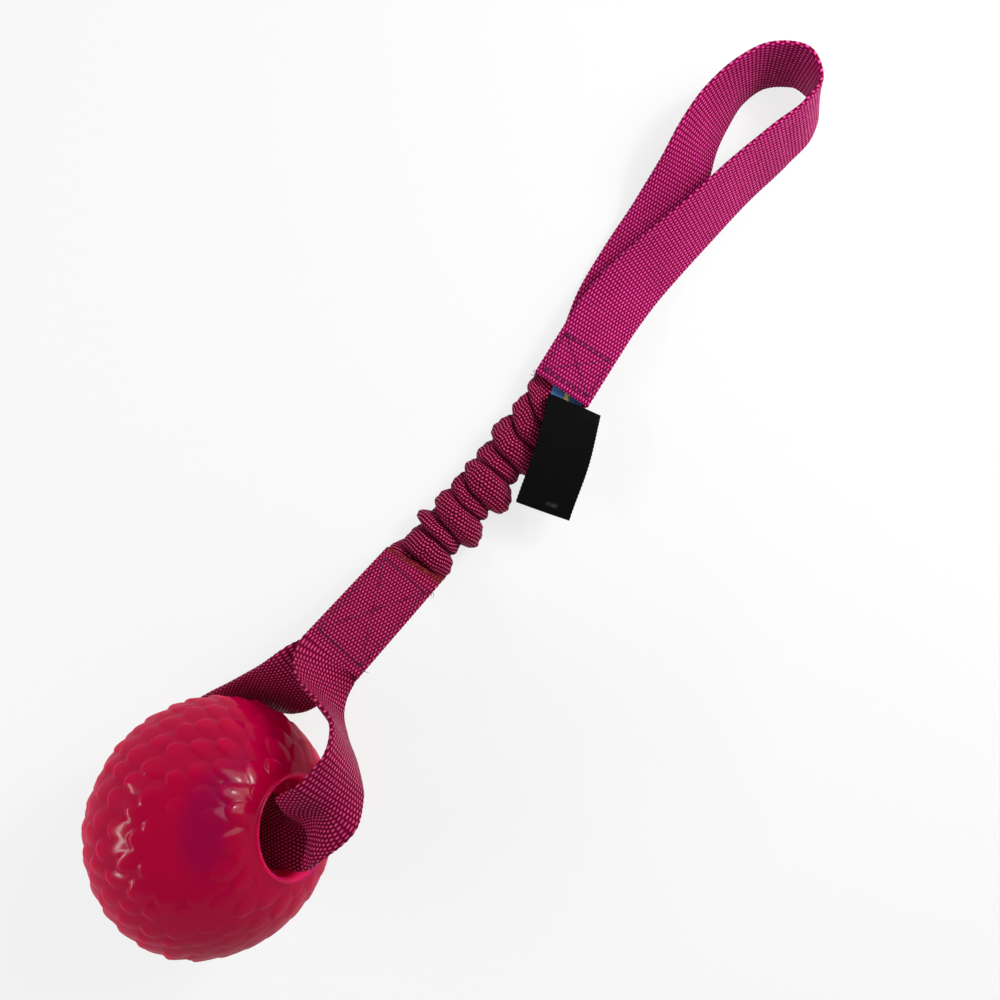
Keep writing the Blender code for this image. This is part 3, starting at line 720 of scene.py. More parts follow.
def rubber_material(name):
    """Clear soft rubber, glossy, dyed raspberry. Its colour holds painted shade low between the scales, a painted
    view of the dark strap through the wall near the bore, painted light on the lips and a painted red glow.
    """
    nodes = Nodes(name)
    _, height, from_axis, along = nodes.attribute("weave")
    cloud = nodes.cloud(22.0, 3.0)
    fine = nodes.cloud(420.0, 3.0)
    # Painted shade: a little darker low between the scales and lighter on their backs.
    colour = nodes.mix(nodes.between(height, 0.15, 0.9), *RUBBER)
    colour = nodes.mix(nodes.between(cloud, 0.35, 0.7, 0.0, 0.3), colour, RUBBER_CLOUD)
    # A painted view through the wall: darker and bluer where the dark strap inside is seen through the clear
    # rubber.
    _, seen_through, _, _ = nodes.attribute("crease")
    seen_through = nodes.times(seen_through, nodes.between(cloud, 0.2, 0.6, 0.45, 0.7))
    colour = nodes.mix(seen_through, colour, PAINTED_STRAP_VIEW)
    # Painted light: the lips round the mouths are painted much brighter, for light that comes through the clear
    # rubber into them where shade falls.
    lip = nodes.times(nodes.between(from_axis, 16 * MM, 19 * MM, 1.0, 0.0), nodes.between(along, 30 * MM, 37 * MM))
    colour = nodes.mix(lip, colour, PAINTED_LIP_LIGHT)
    skin = nodes.bump(fine, 0.05 * MM, 0.4)
    return nodes.set(
        Base_Color=colour,
        Roughness=nodes.between(fine, 0.3, 0.7, 0.11, 0.19),
        Subsurface_Weight=1.0,
        Subsurface_Radius=(1.0, 0.1, 0.2),
        Subsurface_Scale=16 * MM,
        Specular_IOR_Level=0.0,
        Coat_Weight=0.20,
        Coat_Roughness=0.13,
        Coat_IOR=1.5,
        Coat_Normal=skin,
        # Painted glow: a faint red emission stands in for light passing through the rubber and lifts its shaded
        # parts.
        Emission_Color=RUBBER_GLOW,
        Emission_Strength=0.15,
        Normal=skin,
    )


def dark_label_material(name):
    """Black damask weave with fine ribs along it and a pale mark near the folded end."""
    nodes = Nodes(name)
    place, u, v, _ = nodes.attribute("weave")
    ribs = nodes.ribs(u, 0.30 * MM)
    picks = nodes.ribs(v, 0.26 * MM)
    height = nodes.plus(ribs, nodes.times(picks, 0.6))
    dust = nodes.noise(place, 900.0, 4.0, 0.7)
    # Painted shade: a touch darker down in the ribs' hollows.
    colour = nodes.mix(nodes.between(height, -1.4, 1.4), *BLACK)
    colour = nodes.mix(nodes.between(dust, 0.62, 0.75, 0.0, 0.10), colour, DUST)
    near = nodes.between(nodes.away(v, 41.3 * MM), 0.0, 1.2 * MM, 1.0, 0.0)
    span = nodes.between(nodes.away(u, 13.5 * MM), 1.0 * MM, 3.0 * MM, 1.0, 0.0)
    pale_mark = nodes.times(nodes.times(near, span), nodes.between(dust, 0.4, 0.6))
    colour = nodes.mix(nodes.times(pale_mark, 0.5), colour, PALE_MARK)
    return nodes.set(
        Base_Color=colour,
        Roughness=nodes.between(dust, 0.3, 0.7, 0.5, 0.7),
        Specular_IOR_Level=0.04,
        Normal=nodes.bump(height, 0.04 * MM, 0.8),
    )


def blue_label_material(name):
    """Blue ribbon with a plain yellow stripe along it."""
    nodes = Nodes(name)
    place, u, v, _ = nodes.attribute("weave")
    ribs = nodes.ribs(u, 0.28 * MM)
    picks = nodes.ribs(v, 0.34 * MM)
    height = nodes.plus(ribs, picks)
    cloud = nodes.noise(place, 500.0, 3.0)
    # Painted shade: the blue and the gold are darker down in the ribs' hollows and paler on their tops.
    blue = nodes.mix(nodes.between(height, -2.0, 2.0), *BLUE)
    gold = nodes.mix(nodes.between(height, -2.0, 2.0), *GOLD)
    off = nodes.away(u, 9.2 * MM)
    colour = nodes.mix(nodes.between(off, 1.15 * MM, 1.4 * MM, 1.0, 0.0), blue, gold)
    colour = nodes.mix(nodes.between(cloud, 0.4, 0.7, 0.0, 0.2), colour, BLUE_SHADE)
    return nodes.set(
        Base_Color=colour,
        Roughness=nodes.between(cloud, 0.3, 0.7, 0.45, 0.6),
        Specular_IOR_Level=0.25,
        Normal=nodes.bump(height, 0.04 * MM, 0.8),
    )


# Ball

SCALE_COUNT = 350
scale_length = 6.8 * MM
scale_half_width = 4.5 * MM
scale_height = 1.55 * MM
scale_edge = 1.9 * MM
# How much the scales' turn, size and height vary, how round their backs are and how far one reaches in its lengths
SCALE_TWIST = 0.28
SCALE_SIZES = 0.12
SCALE_HEIGHTS = 0.15
SCALE_DOME = 0.85
SCALE_REACH = 1.7
BALL_AROUND = 400
BALL_ACROSS = 190
# The scales stand on a skin sunk by a share of their height. They fade out near the mouths, and on the front they
# are worn down, less so close to the mouth. Angles are up from the ball's widest ring.
SUNK = 0.8
smooth_run = 5 * MM
SMOOTH_SHARE = 0.15
WORN = 0.68
WORN_FROM = math.radians(3)
WORN_OVER = math.radians(22)
WORN_ASIDE = 0.78
WORN_FADE = 0.35
MOUTH_FROM = math.radians(38)
MOUTH_OVER = math.radians(14)
MOUTH_WORN = 0.5
# The painted dark patch, the strap inside seen through the wall: its middle and its reach in degrees from the
# bore, and its place and half width beside it
PATCH_PLACE = 48
PATCH_REACH = 15
PATCH_ASIDE = 0.27
PATCH_WIDTH = 0.52
PATCH_EDGE = 1.6


def ball_turn():
    axis = bore_axis()
    turn = Vector((0, 0, 1)).rotation_difference(Vector(axis)).to_matrix()
    return np.array(turn)


def scale_relief(points):
    """How high the scales stand at points of the ball's outside, given in the ball's own frame."""
    golden = math.pi * (3 - math.sqrt(5))
    k = np.arange(SCALE_COUNT)
    z = 1 - (2 * k + 1) / SCALE_COUNT
    r = np.sqrt(1 - z * z)
    centres = np.stack([r * np.cos(golden * k), r * np.sin(golden * k), z], axis=1) * ball_radius
    flat = unit(points) * ball_radius
    relief = np.zeros(len(points))
    for centre in centres:
        normal = centre / ball_radius
        out = np.array((0, 0, -1.0)) + normal * normal[2]
        if np.linalg.norm(out) < 0.05:
            continue
        out = unit(out)
        across = np.cross(normal, out)
        twist = SCALE_TWIST * math.sin(5.1 * normal[0] + 8.7 * normal[1] + 23 * normal[2])
        out, across = (
            out * math.cos(twist) + across * math.sin(twist),
            across * math.cos(twist) - out * math.sin(twist),
        )
        size = 1 + SCALE_SIZES * math.sin(31 * normal[0] + 17 * normal[1] + 7 * normal[2])
        stand = 1 - SCALE_HEIGHTS + SCALE_HEIGHTS * math.sin(13 * normal[0] - 29 * normal[1] + 19 * normal[2])
        near = np.nonzero(((flat - centre) ** 2).sum(1) < (SCALE_REACH * scale_length) ** 2)[0]
        away = flat[near] - centre
        a, b = away @ out / scale_length / size, away @ across / scale_half_width / size
        tip = np.sqrt(np.clip(1 - b * b, 0, 1)) * 0.75 + 0.25 * (1 - b * b)
        ahead = np.clip(tip - a, 0, None)
        free = np.clip(ahead * scale_length / scale_edge, 0, 1)
        free = np.sqrt(np.clip(1 - (1 - free) ** 2, 0, 1))
        ramp = np.clip(0.1 + 0.9 * (a + 1.0) / 1.9, 0, 1)
        dome = np.clip(1 - b * b, 0, 1) ** SCALE_DOME
        height = np.where(np.abs(b) < 1, free * ramp * dome, 0) * (a > -1.3) * stand
        relief[near] = np.maximum(relief[near], height)
    return relief


def around_bore(radius, height, spin):
    """Points or ways from their shares square to the bore and along it, at each turn round it."""
    cos, sin = np.cos(spin)[:, None], np.sin(spin)[:, None]
    return np.stack([radius[None, :] * cos, radius[None, :] * sin, 0 * cos + height[None, :]], axis=2)


def make_ball():
    """The ball's shell, with overlapping scales outside, smooth lips and a plain inside."""
    outer_top = mouth_radius + lip_radius
    share = math.acos(outer_top / ball_radius)
    angles = np.linspace(-share, share, BALL_ACROSS)
    outer = np.stack([ball_radius * np.cos(angles), ball_half_bore * np.sin(angles)], axis=1)
    lip_at = outer[-1, 1] - lip_radius
    turns = np.linspace(math.pi / 2, math.pi, 8)[1:]
    lip = np.stack([outer_top + lip_radius * np.cos(turns), lip_at + lip_radius * np.sin(turns)], axis=1)
    inside_radius, inside_half = ball_radius - ball_wall, ball_half_bore - ball_wall
    inner_share = math.acos(mouth_radius / inside_radius)
    back = np.linspace(inner_share, -inner_share, 40)
    inner = np.stack([inside_radius * np.cos(back), inside_half * np.sin(back)], axis=1)
    profile = np.concatenate([outer, lip, inner, lip[::-1] * (1, -1)])
    spin = np.linspace(0, TURN, BALL_AROUND, endpoint=False)
    radius, height = profile[:, 0], profile[:, 1]
    points = around_bore(radius, height, spin)
    outside = points[:, :BALL_ACROSS].reshape(-1, 3)
    relief = scale_relief(outside).reshape(BALL_AROUND, BALL_ACROSS)
    fade = np.clip((share - np.abs(angles)) * ball_radius / smooth_run - SMOOTH_SHARE, 0, 1)
    front = np.clip((angles + WORN_FROM) / WORN_OVER, 0, 1)
    mouth = np.clip((angles - MOUTH_FROM) / MOUTH_OVER, 0, 1)
    level = unit(np.cross(bore_axis(), (0, 0, 1)))
    aside = (unit(outside @ ball_turn().T) @ level).reshape(BALL_AROUND, BALL_ACROSS)
    worn = front * np.clip((aside + WORN_ASIDE) / WORN_FADE, 0, 1)
    relief = relief * fade * fade * (3 - 2 * fade) * (1 - WORN * worn * (1 - MOUTH_WORN * mouth))
    normal = unit(np.stack([np.cos(angles) / ball_radius, np.sin(angles) / ball_half_bore], axis=1))
    ways = around_bore(normal[:, 0], normal[:, 1], spin)
    points[:, :BALL_ACROSS] += ways * ((relief - SUNK) * scale_height)[..., None]
    heights = np.full(points.shape[:2], 0.5)
    heights[:, :BALL_ACROSS] = relief
    weave = np.stack([heights, 0 * heights + radius[None, :], 0 * heights + np.abs(height)[None, :]], axis=2)
    world = points.reshape(-1, 3) @ ball_turn().T
    # A painted view through the wall: the dark strap inside is painted as a dark patch on the side that faces up.
    from_axis = np.degrees(np.arccos(np.clip(unit(world) @ bore_axis(), -1, 1)))
    aside = unit(world) @ level + PATCH_ASIDE
    from_middle = np.sqrt(((from_axis - PATCH_PLACE) / PATCH_REACH) ** 2 + (aside / PATCH_WIDTH) ** 2)
    shown = np.clip(PATCH_EDGE - PATCH_EDGE * from_middle, 0, 1)
    shown = eased(shown) * (world[:, 2] > 0)
    faces = tube_faces(BALL_AROUND, len(profile), closed=True)
    piece = mesh_piece("ball_shell", ball_centre + world, faces, weave.reshape(-1, 3))
    # The crease layer here carries the painted dark patch.
    set_layer(piece.data, "crease", np.tile(shown[:, None], 3))
    return piece


# Sleeve

SLEEVE_AROUND = 96
sleeve_ring = 0.3 * MM
sleeve_seam_ring = 0.8 * MM
SMOOTHINGS = 2
sleeve_fine_step = 0.05 * MM
sleeve_open_lead = 1 * MM
OPEN_SQUARENESS = 0.92
INNER_SQUARENESS = 0.4
INNER_RISE = 0.45
RIPPLE = 0.07
ripple_pitch = 3.7 * MM
CREASE = 0.08
SLEEVE_GIRTH = 2.6
# Further from a burnt end than the burn reaches
sleeve_from_end = 5 * MM


def bungee_path(from_lower, into_upper):
    """The bungee's centre line: from a depth in the lower seam, along its height to a depth in the upper seam."""
    rise = shift + (0, 0, bungee_height)
    reach = np.array((0, bungee_length, 0))
    corners = [lower.place(along, 0) for along in (from_lower, bungee_bend / 2, -bungee_bend)]
    corners += [rise + share * reach for share in LEVEL_SHARES]
    corners += [upper.place(along, 0) for along in (-bungee_bend, bungee_bend / 2, into_upper)]
    return rounded_line(corners)


def open_share(along):
    """How far the sleeve is open: 0 inside the seams, 1 between them, with a soft shoulder at each."""
    return eased(np.clip(np.minimum(along / lower_shoulder, (bungee_length - along) / upper_shoulder), 0, 1))


def fold_height(along, angle):
    """How far the folds stand out at places along the bungee and at angles round it, right being 0."""
    cos, sin = np.cos(angle), np.sin(angle)
    right, left = np.clip(cos, 0, 1) ** 1.5, np.clip(-cos, 0, 1) ** 1.5
    middle = 1 - right - left
    most = np.zeros(np.broadcast(along, angle).shape)
    for fold in FOLD_SHARES:
        at_right, at_top, at_left = (np.array(part) for part in fold)
        below = (at_right + at_left) / 2
        centre = np.where((sin > 0)[..., None], at_top, below)
        values = right[..., None] * at_right + left[..., None] * at_left + middle[..., None] * centre
        start, peak, end, reach = (values[..., i] for i in range(4))
        start, end = start + fold_neck / bungee_length, end - fold_neck / bungee_length
        place = along / bungee_length
        # Each fold leans towards the ball, so it is steep on that side and slopes down gently on the other.
        peak = peak - FOLD_LEAN * (peak - start)
        before = place < peak
        up = np.clip((place - peak) / np.where(before, start - peak, end - peak), 0, 1)
        most = np.maximum(most, reach * np.sqrt(1 - up ** np.where(before, 2.6, 1.7)))
    return most


def cloth_run(outer):
    """How far along the cloth each point lies, nearly even round each ring, and the cloth's whole length."""
    steps = np.linalg.norm(np.diff(outer, axis=0), axis=2)
    run = np.concatenate([np.zeros((1, outer.shape[1])), np.cumsum(steps, axis=0)])
    cloth = np.percentile(run[-1], 90)
    return run * (0.25 + 0.75 * cloth / run[-1:]), cloth


def rounded_box(half, wave, squareness):
    """Places on a rounded box's side, from half its width and a cosine or sine."""
    return half * np.sign(wave) * np.abs(wave) ** squareness


def make_sleeve():
    """The gathered sleeve, with each fold as real cloth, flattened in both seams."""
    path = bungee_path(lower_sleeve_reach, upper_sleeve_reach)
    fine = even_stations(path, sleeve_fine_step)
    along = fine[:, 1] - shift[1]
    opened = (along > -sleeve_open_lead) & (along < bungee_length)
    weights = np.where(opened, 1 / sleeve_ring, 1 / sleeve_seam_ring)
    total = np.concatenate([[0], np.cumsum(weights[:-1] * sleeve_fine_step)])
    at = np.linspace(0, total[-1], round(total[-1]))
    centres = np.stack([np.interp(at, total, fine[:, k]) for k in range(3)], axis=1)
    across = np.tile(np.array((1.0, 0.0, 0.0)), (len(centres), 1))
    _, across, normals = path_frames(centres, across)
    normals = normals * np.sign(normals[:, 2:3])
    along = (centres[:, 1] - shift[1])[:, None]
    angle = np.linspace(0, TURN, SLEEVE_AROUND, endpoint=False)[None, :]
    opened = open_share(along)
    height = fold_height(along, angle + 0 * along)
    # A few finer folds ride on the gathers, as cloth creases do.
    ripple = RIPPLE * np.sin(TURN * along / ripple_pitch + 1.7 * np.sin(angle) + 2.3 * np.cos(2 * angle))
    ripple = ripple + CREASE * np.sin(3 * angle + along / (2.6 * MM)) * np.sin(5 * angle - along / (4.3 * MM))
    reach = (height + ripple * (0.35 + 0.65 * np.clip(height, 0, 1))) * opened
    squareness = SEAM_SQUARENESS + (OPEN_SQUARENESS - SEAM_SQUARENESS) * opened
    cos, sin = np.cos(angle), np.sin(angle)
    half_width = sleeve_flat_width / 2 * (1 - opened) + sleeve_valley * opened + fold_reach * reach
    half_height = sleeve_flat_thickness / 2 * (1 - opened) + sleeve_valley_rise * opened + fold_rise * reach
    x, z = rounded_box(half_width, cos, squareness), rounded_box(half_height, sin, squareness)
    outer = swept(centres, across, normals, x, z)
    for _ in range(SMOOTHINGS):
        outer[1:-1] += 0.25 * (outer[2:] + outer[:-2] - 2 * outer[1:-1])
    run, cloth = cloth_run(outer)
    way = unit(np.cross(np.gradient(outer, axis=1), np.gradient(outer, axis=0)) * -1)
    way = way * np.sign((way * (outer - centres[:, None, :])).sum(2, keepdims=True))
    ridge = np.abs(np.sin(math.pi * run / sleeve_row_pitch)) ** 0.6 - 0.5
    outer = outer + way * (row_relief * ridge)[..., None]
    inner_width = elastic_width / 2 + seam_gap + sleeve_wall
    inner_height = elastic_thickness / 2 + seam_gap + (sleeve_valley_rise * INNER_RISE) * opened
    x = rounded_box(inner_width, cos, INNER_SQUARENESS) + 0 * along
    inner = swept(centres, across, normals, x, rounded_box(inner_height, sin, INNER_SQUARENESS))
    weave = np.zeros((2,) + outer.shape)
    weave[..., 0] = angle / TURN * (SLEEVE_GIRTH * sleeve_flat_width)
    weave[..., 1] = run
    weave[..., 2] = sleeve_from_end
    count = len(centres)
    points = np.concatenate([outer.reshape(-1, 3), inner.reshape(-1, 3)])
    faces = tube_faces(count, SLEEVE_AROUND)
    faces += [face[::-1] for face in tube_faces(count, SLEEVE_AROUND, base=count * SLEEVE_AROUND)]
    for base in (0, (count - 1) * SLEEVE_AROUND):
        for k in range(SLEEVE_AROUND):
            k_next = (k + 1) % SLEEVE_AROUND
            other = base + count * SLEEVE_AROUND
            faces.append((base + k, base + k_next, other + k_next, other + k))
    # How far out of the folds' valleys each outside point lies, for the painted shade down in them; the inside has
    # 1, so no painted shade.
    depth = np.concatenate([1 - opened * (1 - np.clip(height, 0, 1)), np.ones(height.shape)])
    piece = mesh_piece("gathered_sleeve", points, faces, weave.reshape(-1, 3), depth.ravel())
    return piece, cloth


def make_elastic():
    """The elastic inside the sleeve: a thick woven band with soft edges."""
    depths = (lower_sleeve_depth - elastic_thickness, upper_sleeve_depth - elastic_thickness)
    path = even_stations(bungee_path(*depths), 1 * MM)
    rows = np.concatenate([path, np.tile((-1.0, 0.0, 0.0), (len(path), 1))], axis=1)
    return strap("elastic_band", rows, elastic_width, elastic_thickness)


# Stitches

stitch_length = 2.6 * MM
stitch_radius = 0.21 * MM
tail_radius = 0.12 * MM
STITCH_SIDES = 6
STITCH_STEPS = 6
STITCH_FILL = 0.93
STITCH_SKEW = 0.10
TAIL_STEPS = 5
sewn_twice = 0.75 * MM
box_inset = 0.4 * MM
# Loose thread ends: places across and along the seam and heights over it, in mm
TAILS = {
    "lower_seam_top_thread": (
        ((9.6, 7.6, -0.1), (11.2, 6.9, 0.7), (12.6, 6.6, 0.8), (13.6, 7.3, 0.2), (13.9, 8.8, -0.5)),
        ((10.4, 8.4, -0.1), (11.6, 7.6, 0.6), (12.9, 7.9, 0.5), (13.2, 9.0, -0.2)),
        ((10.2, 49.0, -0.1), (11.4, 49.8, 0.6), (12.8, 49.6, 0.4), (13.9, 48.6, -0.3)),
    ),
    "upper_seam_top_thread": (
        ((11.2, -1.0, -0.4), (12.1, -1.6, 0.1), (12.9, -1.7, 0.2), (13.4, -1.4, 0.1)),
        ((11.6, -0.4, -0.3), (12.4, -0.5, 0.3), (13.0, 0.1, 0.4), (13.2, 0.8, 0.3)),
        ((10.6, -1.5, -0.4), (11.3, -2.6, 0.0), (12.4, -3.4, 0.2)),
    ),
}


def stitch_row(start, end, up, outward):
    """Single stitches from start to end, each given as across and along the seam; each dips in at its ends."""
    start, end = np.array(start, float), np.array(end, float)
    run = np.linalg.norm(end - start)
    count = max(1, round(run / stitch_length))
    way = (end - start) / run
    square = np.array((-way[1], way[0]))
    found = []
    for i in range(count):
        here, there = start + way * run * i / count, start + way * run * (i + 1) / count
        middle = (here + there) / 2
        half = np.linalg.norm(there - here) * 0.5 * STITCH_FILL
        skew = STITCH_SKEW * stitch_length * math.sin(12.9 * i + 3 * start[0] / MM)
        ring_centres = []
        for t in np.linspace(-1, 1, STITCH_STEPS + 1):
            flat = middle + way * half * t + square * skew * t * 0.5
            lift = up + outward * (crown + stitch_radius * (1.1 * math.sqrt(max(0.0, 1 - t * t)) - 0.6))
            ring_centres.append((*flat, lift))
        found.append((np.array(ring_centres), square, stitch_radius))
    return found


def thread_piece(name, seam, rows):
    """One mesh from rows of stitches laid in a seam's plane."""
    points, faces, weave = [], [], []
    for centres, square, radius in rows:
        base = len(points)
        for i, (x, y, z) in enumerate(centres):
            t = 2 * i / (len(centres) - 1) - 1
            thick = radius * (0.55 + 0.45 * math.sqrt(max(0.0, 1 - t * t)))
            for k in range(STITCH_SIDES):
                a = TURN * k / STITCH_SIDES
                side = square * thick * math.cos(a)
                points.append(seam.place(y + side[1], z + thick * math.sin(a), x + side[0]))
                weave.append((a, i * stitch_length / STITCH_STEPS, 0))
        rings = len(centres)
        faces += tube_faces(rings, STITCH_SIDES, base=base)
        faces.append(tuple(base + k for k in range(STITCH_SIDES)))
        faces.append(tuple(base + (rings - 1) * STITCH_SIDES + k for k in range(STITCH_SIDES)))
    return mesh_piece(name, points, faces, np.array(weave))


def tail(points, up):
    """A loose thread end through places across and along the seam, and heights over it."""
    line = smooth_rows(points, TAIL_STEPS) * MM
    line[:, 2] += up
    way = unit(line[-1, :2] - line[0, :2])
    return line, np.array((-way[1], way[0])), tail_radius


def box_rows(start, end, up, outward):
    """A stitched box with a cross in it, whose rows across the seam are sewn twice."""
    x = webbing_width / 2 - stitch_margin
    low, high = start + box_inset, end - box_inset
    rows = []
    for y, step in ((low, sewn_twice), (high, -sewn_twice)):
        rows += stitch_row((-x, y), (x, y), up, outward)
        rows += stitch_row((-x + 0.6 * MM, y + step), (x - 0.3 * MM, y + step), up, outward)
    for left, right in ((-x, -x), (x, x), (-x, x), (x, -x)):
        rows += stitch_row((left, low), (right, high), up, outward)
    return rows


# Labels


def label_rows(start, end):
    """Places on the labels' middle surface, from start to end past their root, with the way across at each."""
    root = upper.place(0, ribbon_offset) + np.array((label_offset, 0, 0))
    rows = smooth_rows(LABEL_SHARES, LABEL_STEPS, 1)
    runs = np.linspace(start, end, round((end - start) / label_step) + 1)
    lift = np.interp(runs / label_length, rows[:, 0], rows[:, 1]) * label_length
    roll = np.interp(runs / label_length, rows[:, 0], rows[:, 2]) * label_roll
    places = root + label_along * runs[:, None] + UP * lift[:, None]
    ways = label_right * np.cos(roll)[:, None] - UP * np.sin(roll)[:, None]
    return places, ways


def label_push(run, share, tangents):
    """The label is cut a little slantwise, and its middle bows to the right."""
    bow = np.sin(TURN * run / run[-1]) ** 2 * label_bow
    cut = share[None, :] * label_cut - label_lead + 0 * run[:, None]
    return cut[..., None] * label_along + bow[:, None, None] * label_right


def ribbon_push(run, share, tangents):
    """The ribbon bows with the label and is drawn in to the left at its root."""
    bow = np.sin(math.pi * np.clip((run - ribbon_root) / (run[-1] - ribbon_root), 0, 1)) ** 2 * label_bow
    near = np.clip(1 - run / ribbon_gather_run, 0, 1)
    squeeze = -share[None, :] * ribbon_width * RIBBON_GATHER * near[:, None]
    return (bow[:, None] - near[:, None] * ribbon_aside + squeeze)[..., None] * label_right


def make_dark_label():
    """A woven strip folded over the ribbon's end: its front ply, the fold and its back ply."""
    apart = ribbon_thickness / 2 + seam_gap + label_thickness / 2
    places, ways = label_rows(label_start, label_length - apart)
    tangents, across, normals = path_frames(places, ways)
    normals = normals * np.sign(normals[:, 2:3])
    angles = np.linspace(math.pi / 2, -math.pi / 2, LABEL_FOLD_POINTS + 2)[1:-1]
    fold = [places[-1] + apart * (math.cos(a) * tangents[-1] + math.sin(a) * normals[-1]) for a in angles]
    centres = np.concatenate([places + normals * apart, fold, (places - normals * apart)[::-1]])
    way = np.concatenate([across, np.tile(across[-1], (len(fold), 1)), across[::-1]])
    rows = np.concatenate([centres, way], axis=1)
    return strap("woven_label", rows, label_width, label_thickness, push=label_push)


def make_blue_label():
    end = label_length - ribbon_thickness - 2 * seam_gap - label_thickness - ribbon_short
    places, ways = label_rows(-ribbon_root, end)
    places = places - ways * ((label_width - ribbon_width) / 2 - ribbon_inset)
    rows = np.concatenate([places, ways], axis=1)
    return strap("blue_ribbon", rows, ribbon_width, ribbon_thickness, push=ribbon_push)


# Floor, light and camera

floor_reach = 3.0
floor_bend = 1.0
floor_wall = 3.0
FLOOR_SIDES = 64
FLOOR_BEND_POINTS = 9
FLOOR_GLOW = 0.97
FLOOR_GLOW_SHARE = 0.8
SKY = 0.28
# Each lamp's name, the way to it as right, up and towards the camera, its distance, its size and its watts
LAMPS = (
    ("key", (0.42, 0.26, 0.38), 0.62, (0.46, 0.46), 2.8),
    ("window", (0.44, 0.31, 0.42), 0.68, (0.08, 0.08), 1.3),
    ("left", (-0.85, -0.12, 0.52), 0.9, (0.70, 0.04), 3.0),
)


def turned(x, y, z):
    """A direction given as right, up and towards the camera in the picture."""
    cos, sin = math.cos(CAMERA_TURN), math.sin(CAMERA_TURN)
    return Vector((x * cos - y * sin, x * sin + y * cos, z))


def make_floor():
    """A pale round floor that bends up into a wall. The camera and glossy pieces see it glow, so it stays pale."""
    turns = np.linspace(0, math.pi / 2, FLOOR_BEND_POINTS)
    profile = [(floor_reach + floor_bend * math.sin(a), floor_bend - floor_bend * math.cos(a)) for a in turns]
    profile.append((floor_reach + floor_bend, floor_wall))
    spin = np.linspace(0, TURN, FLOOR_SIDES, endpoint=False)
    points = [(radius * math.cos(a), radius * math.sin(a), height) for radius, height in profile for a in spin]
    faces = [face[::-1] for face in tube_faces(len(profile), FLOOR_SIDES)] + [tuple(range(FLOOR_SIDES))]
    mesh = bpy.data.meshes.new("floor")
    mesh.from_pydata(points, [], faces)
    mesh.shade_smooth()
    floor = linked("floor", mesh)
    nodes = Nodes("floor")
    tree = nodes.tree
    nodes.set(Base_Color=FLOOR, Roughness=0.9, Specular_IOR_Level=0.1)
    glow = tree.nodes.new("ShaderNodeEmission")
    glow.inputs["Color"].default_value = (1, 1, 1, 1)
    glow.inputs["Strength"].default_value = FLOOR_GLOW
    path = tree.nodes.new("ShaderNodeLightPath")
    seen = nodes.math("MAXIMUM", path.outputs["Is Camera Ray"], path.outputs["Is Glossy Ray"])
    seen = nodes.math("MAXIMUM", seen, path.outputs["Is Transmission Ray"])
    blend = tree.nodes.new("ShaderNodeMixShader")
    nodes.put(blend.inputs[0], nodes.times(seen, FLOOR_GLOW_SHARE))
    tree.links.new(nodes.shader.outputs[0], blend.inputs[1])
    tree.links.new(glow.outputs[0], blend.inputs[2])
    tree.links.new(blend.outputs[0], tree.nodes["Material Output"].inputs["Surface"])
    mesh.materials.append(nodes.material)


def area_light(name, way, distance, size, energy):
    data = bpy.data.lights.new(name, "AREA")
    data.shape = "ELLIPSE"
    data.size, data.size_y = size
    data.energy = energy
    lamp = linked(name, data)
    way = turned(*way).normalized()
    lamp.location = way * distance
    lamp.rotation_euler = way.to_track_quat("Z", "Y").to_euler()


def make_lights():
    world = bpy.data.worlds.new("studio")
    bpy.context.scene.world = world
    world.use_nodes = True
    sky = world.node_tree.nodes["Background"]
    sky.inputs["Color"].default_value = (1, 1, 1, 1)
    sky.inputs["Strength"].default_value = SKY
    for lamp in LAMPS:
        area_light(*lamp)


def make_camera():
    data = bpy.data.cameras.new("camera")
    data.lens = CAMERA_LENS
    data.sensor_width = CAMERA_SENSOR
    data.clip_start = CAMERA_NEAR
    camera = linked("camera", data)
    camera.location = CAMERA_PLACE
    camera.rotation_euler = (0, 0, CAMERA_TURN)
    bpy.context.scene.camera = camera


make_camera()
make_lights()
make_floor()


# Pieces


def dress(piece, look, bodies, node):
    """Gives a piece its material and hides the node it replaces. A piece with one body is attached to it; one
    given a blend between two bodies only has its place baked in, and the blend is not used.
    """
    piece.data.materials.append(look)
    if isinstance(bodies, str):
        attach(piece, bodies)
    else:
        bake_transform(piece)
    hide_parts(node)


def loop_push(run, share, tangents):
    """The ball loop's top end is cut a little slantwise."""
    near = np.clip(1 - run / loop_cut_run, 0, 1)[:, None]
    return (near * share[None, :] * loop_cut)[..., None] * tangents[:, None, :]


def loop_cup(places, run, share):
    """The front leg cups where it goes into the ball: a valley along it, between two rises."""
    into = (places - ball_centre) @ bore_axis()
    bend = int(np.argmax(into[: len(into) // 2]))
    mouth = run[bend + int(np.argmax(into[bend:] < ball_half_bore))]
    near = eased(np.clip(1 - np.abs(run - mouth + cup_lead) / cup_run, 0, 1))
    valley = np.cos(np.clip((share + CUP_ASIDE) / CUP_HALF, -1, 1) * math.pi / 2) ** 2
    return -cup_depth * near[:, None] * (valley - CUP_LEVEL)[None, :]


def hand_push(run, share, tangents):
    """The hand loop's top end is cut slantwise and reaches a little past the seam."""
    near = np.clip(1 - (run[-1] - run) / hand_cut_run, 0, 1)[:, None]
    return (near * (hand_cut_past - share[None, :] * hand_cut))[..., None] * tangents[:, None, :]


hand_look = webbing_material("hand_webbing", pick_pitch, row_pitch, 1.0, 0.5, 0.60, HAND_WEBBING_LIT)
ball_look = webbing_material("ball_webbing", pick_pitch, row_pitch, 1.0, 0.5, 0.64, BALL_WEBBING_SHADED)
sleeve_look = webbing_material("sleeve_webbing", sleeve_pick_pitch, sleeve_row_pitch, 1.15, 0.0, 0.86, SLEEVE)
thread_look = thread_material("thread")

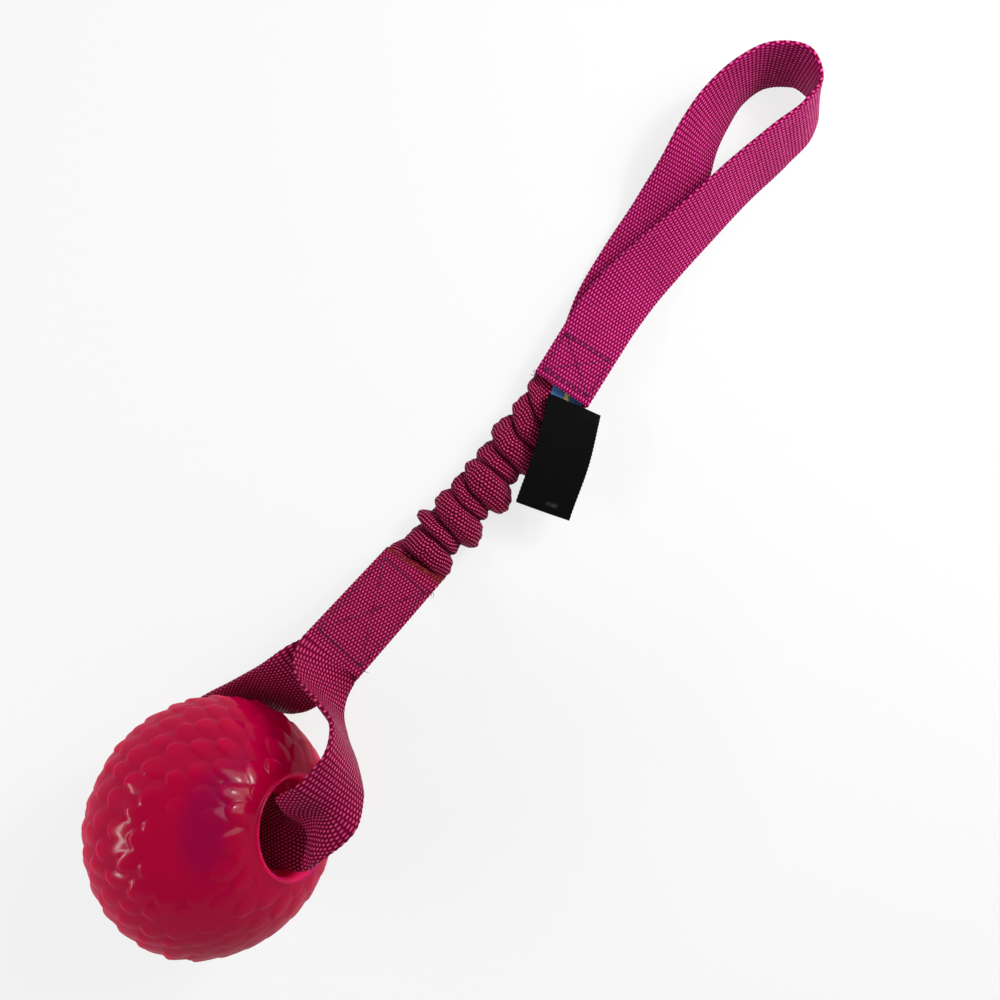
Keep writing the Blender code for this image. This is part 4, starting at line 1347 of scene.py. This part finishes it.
hinge = np.array(joints["handle_swing"]["pos_m"], float)
label_root = np.array(joints["label_flap"]["pos_m"], float)
hand_blend = ("bungee_end", "handle", tuple(hinge), tuple(hinge + upper.heading * swing_run))
bungee_blend = ("ball_loop", "bungee_end", tuple(lower.place(0, 0)), tuple(upper.place(0, 0)))
label_ends = (tuple(label_root - label_along * flap_before), tuple(label_root + label_along * flap_after))
label_blend = ("bungee_end", "label", *label_ends)

ball_shell = make_ball()
dress(ball_shell, rubber_material("rubber"), "ball", "ball")

loop_shape = {"cup": loop_cup, "push": loop_push, "sealed": True}
ball_loop, ball_loop_length = strap(
    "ball_loop_strap", ball_loop_rows(), webbing_width, webbing_thickness, **loop_shape
)
dress(ball_loop, ball_look, "ball_loop", "ball_loop_webbing")

hand_loop, hand_loop_length = strap(
    "hand_loop_strap", hand_loop_rows(), webbing_width, webbing_thickness, push=hand_push
)
dress(hand_loop, hand_look, hand_blend, "handle_webbing")

sleeve, sleeve_cloth = make_sleeve()
dress(sleeve, sleeve_look, bungee_blend, "bungee_sleeve")

elastic, elastic_length = make_elastic()
dress(elastic, elastic_material("elastic"), bungee_blend, "elastic_core")

lower_top = ply_offset + webbing_thickness / 2
upper_top = upper_top_offset + webbing_thickness / 2
lower_ends = (lower_box_start, lower.length - stitch_margin)
upper_ends = (stitch_margin, upper.length - stitch_margin)
for name, seam, ends, up, outward, body in (
    ("lower_seam_top_thread", lower, lower_ends, lower_top, 1, "ball_loop"),
    ("lower_seam_bottom_thread", lower, lower_ends, -lower_top, -1, "ball_loop"),
    ("upper_seam_top_thread", upper, upper_ends, upper_top, 1, "bungee_end"),
    ("upper_seam_bottom_thread", upper, upper_ends, -lower_top, -1, "bungee_end"),
):
    stitches = box_rows(*ends, up, outward) + [tail(points, up) for points in TAILS.get(name, ())]
    piece = thread_piece(name.replace("thread", "stitches"), seam, stitches)
    dress(piece, thread_look, body, name)

woven_label, woven_length = make_dark_label()
dress(woven_label, dark_label_material("dark_label"), label_blend, "dark_label")

blue_ribbon, ribbon_length = make_blue_label()
dress(blue_ribbon, blue_label_material("blue_label"), label_blend, "blue_label")

bpy.context.scene.view_settings.view_transform = "Standard"
